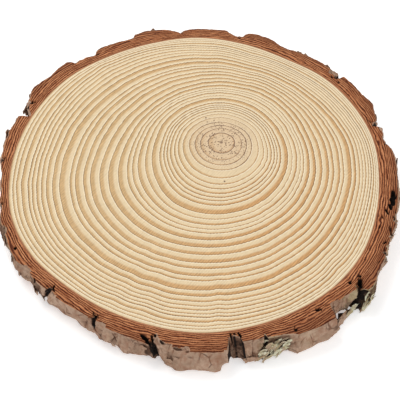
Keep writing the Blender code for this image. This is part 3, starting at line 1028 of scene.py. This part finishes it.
# Middle angle, half the angle, how far in from the lip and how deep, in millimetres.
BROKEN = (
    (260.2, 3.0, 4.2, 3.0), (265.4, 2.6, 3.0, 1.6), (277.6, 1.0, 2.0, 1.6),
    (242.0, 1.8, 2.0, 1.4), (225.0, 1.6, 1.8, 1.4), (310.6, 2.0, 2.4, 2.0),
    (326.0, 1.4, 1.2, 1.0), (213.8, 1.6, 1.4, 1.2), (198.4, 1.6, 1.6, 1.2),
    (152.6, 2.6, 2.4, 1.8), (44.4, 1.8, 2.4, 1.8), (78.4, 2.6, 1.8, 1.0), (20.0, 2.0, 2.0, 1.6),
    (345.6, 2.0, 1.6, 1.2), (130.2, 1.4, 1.4, 1.0),
)
RAGGED = 0.3  # how far a hole's rim wanders, as a share of its size
FULL_SHADE_DEPTH = 2.4  # a hole of so many millimetres is fully dark with painted shade
BREAK_WANDER = 0.5  # how far the slope of a broken corner wanders, as a share of its way in


def holes(points):
    """Depth of the holes at each point, and their painted shade: an oval with a ragged rim and
    steep walls.
    """
    depth = np.zeros(points.shape[:-1])
    dark = np.zeros(points.shape[:-1])
    for number, (angle, distance, length, width, slant, deep) in enumerate(HOLES):
        turn = math.radians(angle)
        away = points[..., :2] - np.array([math.cos(turn), math.sin(turn)]) * distance * MM
        heading = turn + math.pi / 2 - math.radians(slant)
        along = away @ np.array([math.cos(heading), math.sin(heading)])
        aside = away @ np.array([-math.sin(heading), math.cos(heading)])
        oval = np.hypot(along / (length / 2 * MM), aside / (width / 2 * MM))
        spin = np.arctan2(aside, along) / (2 * math.pi)
        own_row = np.full_like(spin, number)
        oval += RAGGED * rough(spin, own_row, cells=7, seed=50 + number, layers=2)
        depth = np.maximum(depth, deep * MM * eased(oval, 1.35, 0.55))
        # painted shade in the hole, darker the deeper the hole is
        dark = np.maximum(dark, eased(oval, 1.45, 0.95) * min(deep / FULL_SHADE_DEPTH, 1))
    return depth, dark


def broken(degrees, to_lip):
    """Depth of the broken corners: full at the lip, and ending inwards in a ragged slope."""
    reach = to_lip * (1 + BREAK_WANDER * rough(degrees / 360, to_lip / 3, cells=120, seed=83))
    return np.max([
        deep * MM * (1 - across(degrees, middle, half) ** 3) * eased(reach / far, 1.0, 0.35)
        for middle, half, far, deep in BROKEN
    ], axis=0)


print("holes:", len(HOLES), "broken corners:", len(BROKEN))

# %% [markdown]
# ## The ring of bark
# Going once round the section of the bark, the grid's rows cross the sawn face, turn over the lip,
# go down the outside and come back along the underside. The columns stand closer together at the
# front, where the bark is most torn. The thin layers of the sawn face wander a little, and the saw
# tore them to different heights. Stripes in the finish alone would look printed, and a groove
# without a dark line would hardly show. So the number of the layer, counted from the wood, shapes
# the mesh and is kept for the finish, and the dark lines lie exactly in the grooves.

# %% Columns, layers and the sawn face
BARK_COLUMNS = 1280
FRONT_DENSITY = 0.35
FACE_ROWS = 31
SIDE_ROWS = 36
UNDER_ROWS = 9
INNER_GAP = 0.12 * MM
LIP_DROP, LIP_BITES = 0.25 * MM, 0.45 * MM
BREAK_UNEVEN = 0.35  # how much deeper or shallower a broken corner is in places, as a share
# All in millimetres: from one layer to the next, how far they wander, and their torn height.
LAYER_STEP = 1.42
LONG_WANDER, SHORT_WANDER = 0.8 * LAYER_STEP, 0.16 * LAYER_STEP
GROOVE, TEARING = 0.22, 0.13

fine_angles = np.linspace(0, 360, 3601)
crowding = np.cumsum(1 - FRONT_DENSITY * np.sin(np.radians(fine_angles)))
crowding = (crowding - crowding[0]) / (crowding[-1] - crowding[0])
bark_angles = np.interp(np.arange(BARK_COLUMNS) / BARK_COLUMNS, crowding, fine_angles)
bark_turn = bark_angles[None, :] / 360
inner = wood_radius(bark_angles) + INNER_GAP


def layer_count(turn, depth):
    """Number of the layer at a depth in millimetres from the wood: evenly spaced, with a slow
    wander along the ring and a short one."""
    wander = LONG_WANDER * rough(turn, depth / 6, cells=36, seed=61)
    wander = wander + SHORT_WANDER * rough(turn, depth / 2, cells=240, seed=63)
    return (depth + wander) / LAYER_STEP


def layer_height(turn, depth):
    """Torn height in millimetres: a groove at every whole layer, and fine tearing over all."""
    groove = eased(np.cos(2 * math.pi * layer_count(turn, depth)), 0.2, 1.0)
    strength = 0.6 + 0.4 * wavy(turn, depth / 3, cells=90, seed=66)
    tearing = rough(turn, depth / 0.9, cells=420, seed=71, layers=2)
    return TEARING * tearing - GROOVE * groove * strength


def upper_face():
    """Rows across the sawn face, from the wood outwards. Height: thickness plus torn layers, less
    the deeper of holes and broken corners, less a drop with small bites in it at the lip."""
    edge, _ = bark_outside(bark_angles, bark_angles, np.ones(BARK_COLUMNS))
    share = np.linspace(0, 1, FACE_ROWS)[:, None]
    radius = inner + (edge - inner) * share
    depth = (radius - wood_radius(bark_angles)) / MM
    points = round_points(radius, bark_angles, THICKNESS)
    hollow, dark = holes(points)
    to_lip = (1 - share) * (edge - inner) / MM
    lost = broken(bark_angles, to_lip)
    lost *= 1 + BREAK_UNEVEN * rough(bark_turn, to_lip / 1.5, cells=400, seed=85)
    bites = 0.5 + 0.5 * rough(bark_turn, np.zeros_like(share), cells=330, seed=81)
    drop = (LIP_DROP + LIP_BITES * bites) * eased(to_lip, 0.9, 0.0)
    points[..., 2] += layer_height(bark_turn, depth) * MM * eased(depth, 0.0, 1.0)
    points[..., 2] -= np.maximum(hollow, lost) + drop
    return points + SHIFT, dark, eased(lost, 0.15 * MM, 0.6 * MM)


face_points, hole_shade, face_broken = upper_face()
lowest = float(face_points[..., 2].min() / MM)
print("sawn face:", face_points.shape[:2], "rows and columns, lowest", round(lowest, 1), "mm")

# %% [markdown]
# On its way down the outside keeps a note of its painted shade. It is painted dark where the lip
# lies far back between two plates, on steep flanks, and in a few patches in the shade of their
# flakes.

# %% The outside and the underside
# Middle angle and half the angle of painted shade patches under flakes, and how dark they are.
SHADED_PATCHES = (
    (291.8, 3.8), (322.2, 2.6), (257.6, 2.4), (280.2, 2.7), (206.5, 3.0), (218.6, 3.0),
    (196.0, 3.0),
)
PATCH_SHADE = 0.75
FOOT_TUCK = 1.2 * MM
FOOT_RISE, FOOT_UNEVEN = 0.3 * MM, 0.35 * MM
UNDER_LIFT = 0.25  # millimetres that the torn underside stays above the floor


def outer_side(lip_height, foot_height):
    """Rows down the outside, from just under the lip to the foot, which tucks in a little and
    more where it is broken away. Also the painted shade of each place and how high its flake."""
    share = np.linspace(1, 0, SIDE_ROWS + 1)[1:, None]
    height = foot_height + (lip_height - foot_height) * share
    level = height / THICKNESS
    at = bark_angles + lean(bark_angles) * (1 - level)
    radius, flake = bark_outside(bark_angles, at, level)
    tuck = FOOT_TUCK * eased(level, 0.10, 0.0)
    tuck = tuck + humps(bark_angles, CHIPS) / 2 * eased(level, 0.3, 0.0)
    radius = np.maximum(radius - tuck, wood_radius(at) + LEAST_BARK / 2)
    # Painted shade: dark where the lip lies back between two plates, on steep flanks, and in
    # patches.
    notch = eased(set_back(bark_angles), 0.5 * MM, 2.6 * MM)
    flank = eased(steepness(bark_angles), 2.5, 4.5)
    dark = np.minimum(notch + flank, 1) * np.ones_like(level)
    dark = dark * np.clip(1.05 + 0.5 * rough(at / 360, level * 5, cells=420, seed=95), 0.5, 1)
    dark = np.maximum(dark, PATCH_SHADE * masks(at, SHADED_PATCHES) * (0.6 + 0.4 * flake))
    return round_points(radius, at, height) + SHIFT, dark, flake


def under_face(foot):
    """Rows back along the underside: from the foot to the inner wall, sinking to the floor."""
    share = np.linspace(0, 1, UNDER_ROWS + 1)[1:, None]
    inside = round_points(inner, bark_angles, 0) + SHIFT
    points = foot * (1 - share[..., None]) + inside * share[..., None]
    radius = np.hypot(points[..., 0] - SHIFT[0], points[..., 1] - SHIFT[1])
    angle = np.degrees(np.arctan2(points[..., 1] - SHIFT[1], points[..., 0] - SHIFT[0]))
    depth = (radius - wood_radius(angle)) / MM
    torn = (UNDER_LIFT + layer_height(angle / 360, depth)) * MM * eased(share, 1.0, 0.7)
    points[..., 2] = foot[..., 2] * (1 - share) ** 3 + np.maximum(torn, 0)
    return points


foot_chance = rough(bark_angles / 360, np.zeros(BARK_COLUMNS), cells=200, seed=91)
foot_height = FOOT_RISE + humps(bark_angles, CHIPS) + FOOT_UNEVEN * (1 + foot_chance)
side_points, side_shade, side_flake = outer_side(face_points[-1, :, 2], foot_height)
under_points = under_face(side_points[-1])
wall_points = round_points(inner, bark_angles, THICKNESS / 2)[None] + SHIFT
bark_grid = np.vstack([face_points, side_points, under_points, wall_points])
bark = skin("bark_ring", bark_grid)
print("bark:", len(bark.data.vertices), "points,", len(bark.data.polygons), "faces")

# %% [markdown]
# The finish of the bark needs to know which places were sawn and which are weathered, the number
# of the layer, how deep in a crack each place is and how much painted shade it gets, how high its
# flake stands, and where lichen grew: in two patches at the front right, and as a breath of green
# elsewhere.

# %% What the bark's finish needs to know
# Middle angle, half the angle, and strength of the lichen.
LICHEN = (
    (290.4, 4.8, 0.4), (299.5, 3.5, 0.1), (321.4, 3.4, 0.8), (316.5, 3.5, 0.5), (335.0, 6.0, 0.35),
    (202.0, 8.0, 0.2), (60.0, 14.0, 0.3), (120.0, 12.0, 0.35), (352.0, 8.0, 0.15),
)

rows_of_side = slice(FACE_ROWS, FACE_ROWS + SIDE_ROWS)
whole = bark_grid.shape[:2]
grid_radius = np.hypot(bark_grid[..., 0] - SHIFT[0], bark_grid[..., 1] - SHIFT[1])
grid_turn = np.arctan2(bark_grid[..., 1] - SHIFT[1], bark_grid[..., 0] - SHIFT[0])
depths = (grid_radius - wood_radius(np.degrees(grid_turn))) / MM
sawn = np.ones(whole)
sawn[:FACE_ROWS] = 1 - face_broken
sawn[FACE_ROWS - 1 : rows_of_side.stop + 1] = 0
# How deep in a crack each place is, which the finish turns to umber and, where deep, to painted
# shade.
crack_shade_grid = np.zeros(whole)
crack_shade_grid[:FACE_ROWS] = hole_shade
crack_shade_grid[rows_of_side] = side_shade
raised = np.zeros(whole)
raised[rows_of_side] = side_flake
spread = sum(
    size * (1 - across(np.degrees(grid_turn), middle, half) ** 2) for middle, half, size in LICHEN
)

# The finish draws its threads in these coordinates, so they follow the layers round the ring.
unrolled = np.stack([np.cos(grid_turn), np.sin(grid_turn), depths], axis=-1)
unrolled[..., :2] *= MEAN_RADIUS / MM
note(bark, "layer", unrolled.reshape(-1, 3))
note(bark, "count", layer_count(grid_turn % (2 * math.pi) / (2 * math.pi), depths).ravel())
note(bark, "sawn", sawn.ravel())
note(bark, "crack_and_shade", crack_shade_grid.ravel())
note(bark, "raised", raised.ravel())
note(bark, "lichen", spread.ravel())
print("bark depth up to", round(float(depths.max()), 1), "mm")

# %% [markdown]
# ## The bark's finish
# On the sawn face thin dark red layers run through orange brown ones, paler next to the wood and
# darker towards the outside. The outside is weathered to a warm grey brown with upright streaks,
# lighter on what stands out and darker in the gaps, and dusted with grey green lichen. Deep in a
# crack, in a hole and under a flake it gets painted shade, nearly black. Two materials would meet
# in a clean line along the edges of the faces. So it is one material, and the notes on the mesh say
# where it turns from sawn to weathered.

# %% The bark's finish
ORANGE = shade(214, 146, 100)
RUST = shade(160, 92, 55)
DARK_RED = shade(78, 31, 14)
PALE_BAST = shade(196, 136, 100)
GREY_BROWN = shade(166, 136, 114)
WARM_GREY = shade(190, 160, 138)
RED_BROWN = shade(146, 100, 74)
UMBER = shade(88, 58, 42)
# painted shade, nearly black, for what lies deep in cracks and holes and under flakes
SHADE_BLACK = shade(24, 15, 11)
LIP_TAN = shade(204, 170, 142)
GREEN_GREY = shade(168, 165, 114)
LICHEN_WHITE = shade(216, 214, 188)


def bark_finish():
    """Rough bark, sawn or weathered, for the ring and its flakes. Depths are in millimetres."""
    f = Finish("pine bark", roughness=0.85, specular=0.2)
    place = f.place()
    layer = f.noted("layer", vector=True)
    depth = f.part(layer, "Z")
    crack_and_shade = f.noted("crack_and_shade")
    raised = f.noted("raised")
    lichen = f.noted("lichen")
    crumbs = f.grain(place, 1500, 2, 0.6)
    blotch = f.grain(place, 60, 4, 0.6, 0.4)

    # The sawn face: threads of rust and orange, paler next to the wood, and a dark line in every
    # groove.
    threads = f.grain(f.stretched(layer, (0.12, 0.12, 2.6)), 1.0, 3, 0.6)
    count = f.plus(f.noted("count"), f.swing(crumbs, 0.55))
    wave = f.calculate("COSINE", f.times(count, 2 * math.pi))
    strength = f.grain(f.stretched(layer, (0.08, 0.08, 0.5)), 1.0, 2)
    dark_line = f.times(f.between(wave, -0.45, 0.55), f.between(strength, 0.3, 0.5, 0.6, 1.0))
    layers = f.blend(f.between(threads, 0.36, 0.62), RUST, ORANGE)
    layers = f.blend(f.between(depth, 0.3, 1.6, 0.7, 0.0), layers, PALE_BAST)
    lines = f.times(dark_line, f.between(depth, 0.2, 1.6, 0.45, 0.97))
    layers = f.blend(lines, layers, DARK_RED)
    layers = f.blend(f.between(depth, 5.0, 13.0, 0.0, 0.45), layers, DARK_RED)

    # The weathered outside: blotches, hair cracks, upright streaks, sunk and raised flakes.
    streak = f.grain(f.stretched(place, (1, 1, 0.22)), 520, 4, 0.65)
    weathered = f.blend(f.between(blotch, 0.32, 0.68), GREY_BROWN, WARM_GREY)
    patches = f.between(f.grain(place, 130, 3), 0.48, 0.68, 0.0, 0.55)
    weathered = f.blend(patches, weathered, RED_BROWN)
    edges = f.cells(f.stretched(place, (1, 1, 0.45)), 150, "DISTANCE_TO_EDGE")
    hair_cracks = f.between(edges, 0.015, 0.07, 1.0, 0.0)
    hair_cracks = f.times(hair_cracks, f.between(f.grain(place, 90, 3), 0.48, 0.62))
    weathered = f.blend(f.times(hair_cracks, 0.75), weathered, UMBER)
    weathered = f.blend(f.between(streak, 0.30, 0.55, 0.55, 0.0), weathered, RED_BROWN)
    weathered = f.blend(f.between(raised, -1.0, -0.25, 0.8, 0.0), weathered, UMBER)
    weathered = f.blend(f.between(raised, 0.3, 1.0, 0.0, 0.5), weathered, LIP_TAN)

    # Lichen: a thin film, and a pale crust on what stands out. Then the dark of the cracks, which
    # on the under side of a flake is painted shade.
    film = f.times(lichen, f.between(f.grain(place, 230, 4, 0.7, 0.6), 0.40, 0.56))
    weathered = f.blend(f.times(film, 0.8), weathered, GREEN_GREY)
    crust = f.times(f.between(raised, 0.1, 0.8), f.between(lichen, 0.3, 0.8))
    crust = f.times(crust, f.between(crumbs, 0.3, 0.55))
    weathered = f.blend(crust, weathered, LICHEN_WHITE)
    weathered = f.blend(f.times(f.between(crack_and_shade, 0.1, 0.6), 0.9), weathered, UMBER)

    # Sawn or weathered, with a torn tan rim between the two, and painted shade, nearly black, where
    # it is deep.
    torn = f.plus(f.noted("sawn"), f.swing(crumbs, 0.7))
    colour = f.blend(f.between(torn, 0.35, 0.6), weathered, layers)
    rim = f.times(f.between(torn, 0.15, 0.4), f.between(torn, 0.45, 0.65, 1.0, 0.0))
    rim = f.times(rim, f.between(blotch, 0.4, 0.6, 0.1, 0.8))
    colour = f.blend(rim, colour, LIP_TAN)
    shadow = f.between(f.plus(crack_and_shade, f.times(crumbs, 0.3)), 0.62, 1.05)
    colour = f.blend(shadow, colour, SHADE_BLACK)

    height = f.less(f.times(streak, 0.8), f.times(dark_line, 0.4))
    normal = f.relief(height, 0.35 * MM, 0.9)
    return f.finish(colour, f.relief(crumbs, 0.18 * MM, 0.8, normal))


bark.data.materials.append(bark_finish())
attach(bark, "root")
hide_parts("bark")
print("finish:", bark.data.materials[0].name)

# %% [markdown]
# ## Flakes and lichen
# Dry pine bark sheds thin flakes. Most lie close, one is nearly loose at the foot at the front
# right, and in two places they are covered with lichen, which curls in narrow ruffles. A particle
# system could scatter copies of one flake, but here each has its place and shape. Each is a small
# closed shell with a wavy outline: rings on its upper side and the same rings a little lower on its
# under side, the last of which runs into the bark like a root. So no flake hangs free.

# %% The shape of one flake
FLAKE_AROUND = 18
FLAKE_RINGS = (0.5, 0.85, 1.0)
FLAKE_THICKNESS = 0.45 * MM
MIDDLE_RING = 0.02
CORNER_POWER = 0.7
# All in millimetres: how far the root goes into the bark, how long it is at most outside it, the
# heights between which a flake stays, and the ripples on it.
ROOT_BITE = 1.2
LONGEST_ROOT = 2.5
LOWEST_FLAKE, HIGHEST_FLAKE = 0.3, 17.6
RIPPLE = 0.15
DROOP = 0.12  # how far the lower edge lies out, as a share of the width


def flake_rows(angle, height, length, width, slant, stand, tilt, curl, seed):
    """Rows of one flake, from the middle of its upper side to the middle of its under side. In its
    own plane: a square with round corners (cosine and sine, each to a power below 1), times ring
    and wavy outline and half the length and width, turned by the slant. Outwards: how far it
    stands off, plus its tilt along the length, plus a curl with the square of it, and the lower
    edge further out than the upper one. The flake is pressed flat where it would rise over the
    cut."""
    rng = np.random.default_rng(seed)
    phi = np.arange(FLAKE_AROUND) * 2 * math.pi / FLAKE_AROUND
    outline = 1 + sum(
        rng.uniform(0.04, 0.13) * np.cos(k * phi + rng.uniform(0, 2 * math.pi))
        for k in (2, 3, 5, 7)
    )
    ring = np.array([MIDDLE_RING, *FLAKE_RINGS, *FLAKE_RINGS[::-1], MIDDLE_RING])[:, None]
    along, aside = (
        ring * outline * np.sign(part) * np.abs(part) ** CORNER_POWER
        for part in (np.cos(phi), np.sin(phi))
    )
    under = np.arange(len(ring))[:, None] >= len(ring) // 2
    outwards = stand + tilt * along + curl * along**2 - DROOP * width * aside
    outwards = (outwards + RIPPLE * np.sin(5 * along + 3 * aside + seed)) * MM
    outwards = outwards - under * FLAKE_THICKNESS * (1.1 - ring**4)
    outwards[-1] -= (min(stand, LONGEST_ROOT) + ROOT_BITE) * MM
    cosine, sine = math.cos(math.radians(slant)), math.sin(math.radians(slant))
    u = (along * length * cosine - aside * width * sine) / 2 * MM
    v = (along * length * sine + aside * width * cosine) / 2 * MM
    v = v * min(1, (HIGHEST_FLAKE - height) * MM / v.max())
    level = height * MM / THICKNESS
    column = angle - lean(angle) * (1 - level)
    wall, _ = bark_outside(np.array([column]), np.array([angle]), np.array([level]))
    at = angle + np.degrees(u / MEAN_RADIUS)
    up = np.maximum(height * MM + v, LOWEST_FLAKE * MM)
    return round_points(wall[0] + outwards, at, up) + SHIFT


def flake_faces(count, rows):
    """Corners and sizes of the faces of many flakes: each ring joined to the next, and a cap of one
    face over the smallest ring at both ends."""
    index = np.arange(rows * FLAKE_AROUND).reshape(rows, FLAKE_AROUND)
    beside = np.roll(index, -1, 1)
    quads = np.stack([index[:-1], beside[:-1], beside[1:], index[1:]], axis=-1).ravel()
    one = np.concatenate([quads, index[0][::-1], index[-1]])
    sizes = np.concatenate([np.full((rows - 1) * FLAKE_AROUND, 4), [FLAKE_AROUND, FLAKE_AROUND]])
    offsets = np.arange(count)[:, None] * rows * FLAKE_AROUND
    return (one[None, :] + offsets).ravel(), np.tile(sizes, count)


print("points of one flake:", 2 * (len(FLAKE_RINGS) + 1) * FLAKE_AROUND)


# %% Where the flakes are
# Angle, height of the middle, length, width, slant in degrees, how far it stands off, tilt, curl,
# and how much lichen it has. Lengths in millimetres.
LOOSE_FLAKES = (
    (312.2, 4.0, 15.0, 6.4, 3, 5.0, -0.9, 0.6, 0.1),
    (316.4, 5.4, 5.4, 5.0, 40, 3.1, 0.4, 0.2, 0.8),
    (310.8, 3.4, 7.0, 5.2, -12, 5.9, -0.6, 0.5, 0.0),
    (314.4, 5.4, 5.0, 3.4, 20, 4.1, 0.3, 0.3, 0.7),
    (356.5, 9.0, 11.0, 8.0, 80, 0.9, 0.5, 0.3, 0.0),
    (340.4, 12.0, 6.0, 5.0, 60, 1.0, 0.8, 0.3, 0.1),
    (219.0, 11.0, 7.0, 4.5, 70, 0.9, 0.8, 0.4, 0.0),
    (243.2, 9.0, 7.5, 6.0, 20, 0.7, 0.6, 0.2, 0.0),
    (262.4, 10.0, 4.5, 3.0, 30, 0.9, 0.5, 0.3, 0.0),
    (264.4, 13.4, 3.6, 2.2, 10, 0.8, 0.5, 0.2, 0.0),
    (283.6, 6.0, 8.5, 4.4, 30, 0.7, 0.6, 0.3, 0.0),
    (286.4, 9.5, 7.2, 3.4, 40, 0.6, 0.5, 0.2, 0.1),
    (206.8, 12.0, 5.0, 5.0, 40, 0.8, 0.7, 0.3, 0.0),
    (151.0, 10.0, 6.0, 9.0, 10, 0.8, 0.5, 0.3, 0.0),
)
# The least and the most of each value that is drawn by chance, in that order.
RUFFLE_RANGES = (
    (5.0, 9.5), (1.2, 2.4), (-16, 16), (0.8, 2.3), (-0.5, 0.7), (0.2, 0.9), (0.35, 1.0),
)
SCATTER_RANGES = (
    (4, 13.5), (4, 9), (3.5, 7.5), (40, 130), (0.1, 0.45), (-0.35, 0.35), (0.0, 0.25),
)
FLAKE_SEED = 11
SCATTERED_FLAKES = 64


def drawn(rng, ranges):
    """One number by chance from each range."""
    return [rng.uniform(low, high) for low, high in ranges]


def ruffles(middle, half, rows, columns, lowest, highest, slant, seed):
    """Narrow flakes in rows over a patch that leans to the left, each moved and turned by
    chance."""
    rng = np.random.default_rng(seed)
    made = []
    for row in range(rows):
        for column in range(columns):
            share = (column + 0.5 * (row % 2) + rng.uniform(-0.25, 0.25)) / columns
            level = (row + 0.5 + rng.uniform(-0.3, 0.3)) / rows
            angle = middle + half * (2 * share - 1) - 2 * (1 - level)
            height = lowest + (highest - lowest) * level
            length, width, turn, *others = drawn(rng, RUFFLE_RANGES)
            made.append((angle, height, length, width, slant + turn, *others))
    return made


def scattered(count, seed):
    """Broader flakes without lichen anywhere on the outside, but not on smooth plates, on shingles
    or in a fissure. An angle drawn there is drawn again."""
    rng = np.random.default_rng(seed)
    made = []
    while len(made) < count:
        angle = rng.uniform(0, 360)
        taken = masks(angle, SMOOTH_PLATES) > 0 or masks(angle, SHINGLES) > 0
        if not taken and in_fissure(angle) <= 0:
            made.append((angle, *drawn(rng, SCATTER_RANGES), 0.0))
    return made


flakes = list(LOOSE_FLAKES)
flakes += ruffles(291.0, 3.3, 4, 8, 3.2, 15.5, 50, 5)
flakes += ruffles(319.9, 0.5, 5, 2, 2.0, 15.5, 62, 6)
flakes += scattered(SCATTERED_FLAKES, FLAKE_SEED)
flake_grid = np.array([flake_rows(*row[:8], seed=number) for number, row in enumerate(flakes)])
flake_count, flake_row_count = flake_grid.shape[:2]
flake_corners, flake_sizes = flake_faces(flake_count, flake_row_count)
bark_flakes = mesh_piece("bark_flakes", flake_grid.reshape(-1, 3), flake_corners, flake_sizes)
print("flakes:", flake_count, "faces:", len(bark_flakes.data.polygons))

# %% [markdown]
# The flakes share the bark's finish, so they get the same notes: nothing sawn, painted shade on the
# under side, the rim lighter than the middle, and the lichen that each one carries.

# %% Notes and finish of the flakes
FLAKE_DEPTH = 9  # the bark's depth in millimetres by which the finish colours them
TONE_CHANCE, LICHEN_TONE = 0.4, 0.45
RIM_LIGHT, UNDER_SHADE = 0.7, 0.75

each = np.ones(flake_grid.shape[:3])
under_side = (np.arange(flake_row_count) >= flake_row_count // 2)[None, :, None] * each
rim_of_flake = np.array([0, *FLAKE_RINGS, *FLAKE_RINGS[::-1], 0])[None, :, None] ** 3 * each
carried = np.array([row[8] for row in flakes])[:, None, None] * each
chance = np.random.default_rng(FLAKE_SEED).uniform(-TONE_CHANCE, TONE_CHANCE, flake_count)
tone = chance[:, None, None] + LICHEN_TONE * carried
note(bark_flakes, "layer", each.reshape(-1, 1) * (0, 0, FLAKE_DEPTH))
note(bark_flakes, "count", (tone * 4).ravel())
note(bark_flakes, "sawn", (0 * each).ravel())
# painted shade on the under side of each flake, less towards its rim
note(bark_flakes, "crack_and_shade", (UNDER_SHADE * under_side * (1 - rim_of_flake)).ravel())
note(bark_flakes, "raised", (tone + RIM_LIGHT * rim_of_flake * (1 - under_side)).ravel())
note(bark_flakes, "lichen", carried.ravel())
bark_flakes.data.materials.append(bark.data.materials[0])
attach(bark_flakes, "root")
print("finish:", bark_flakes.data.materials[0].name)
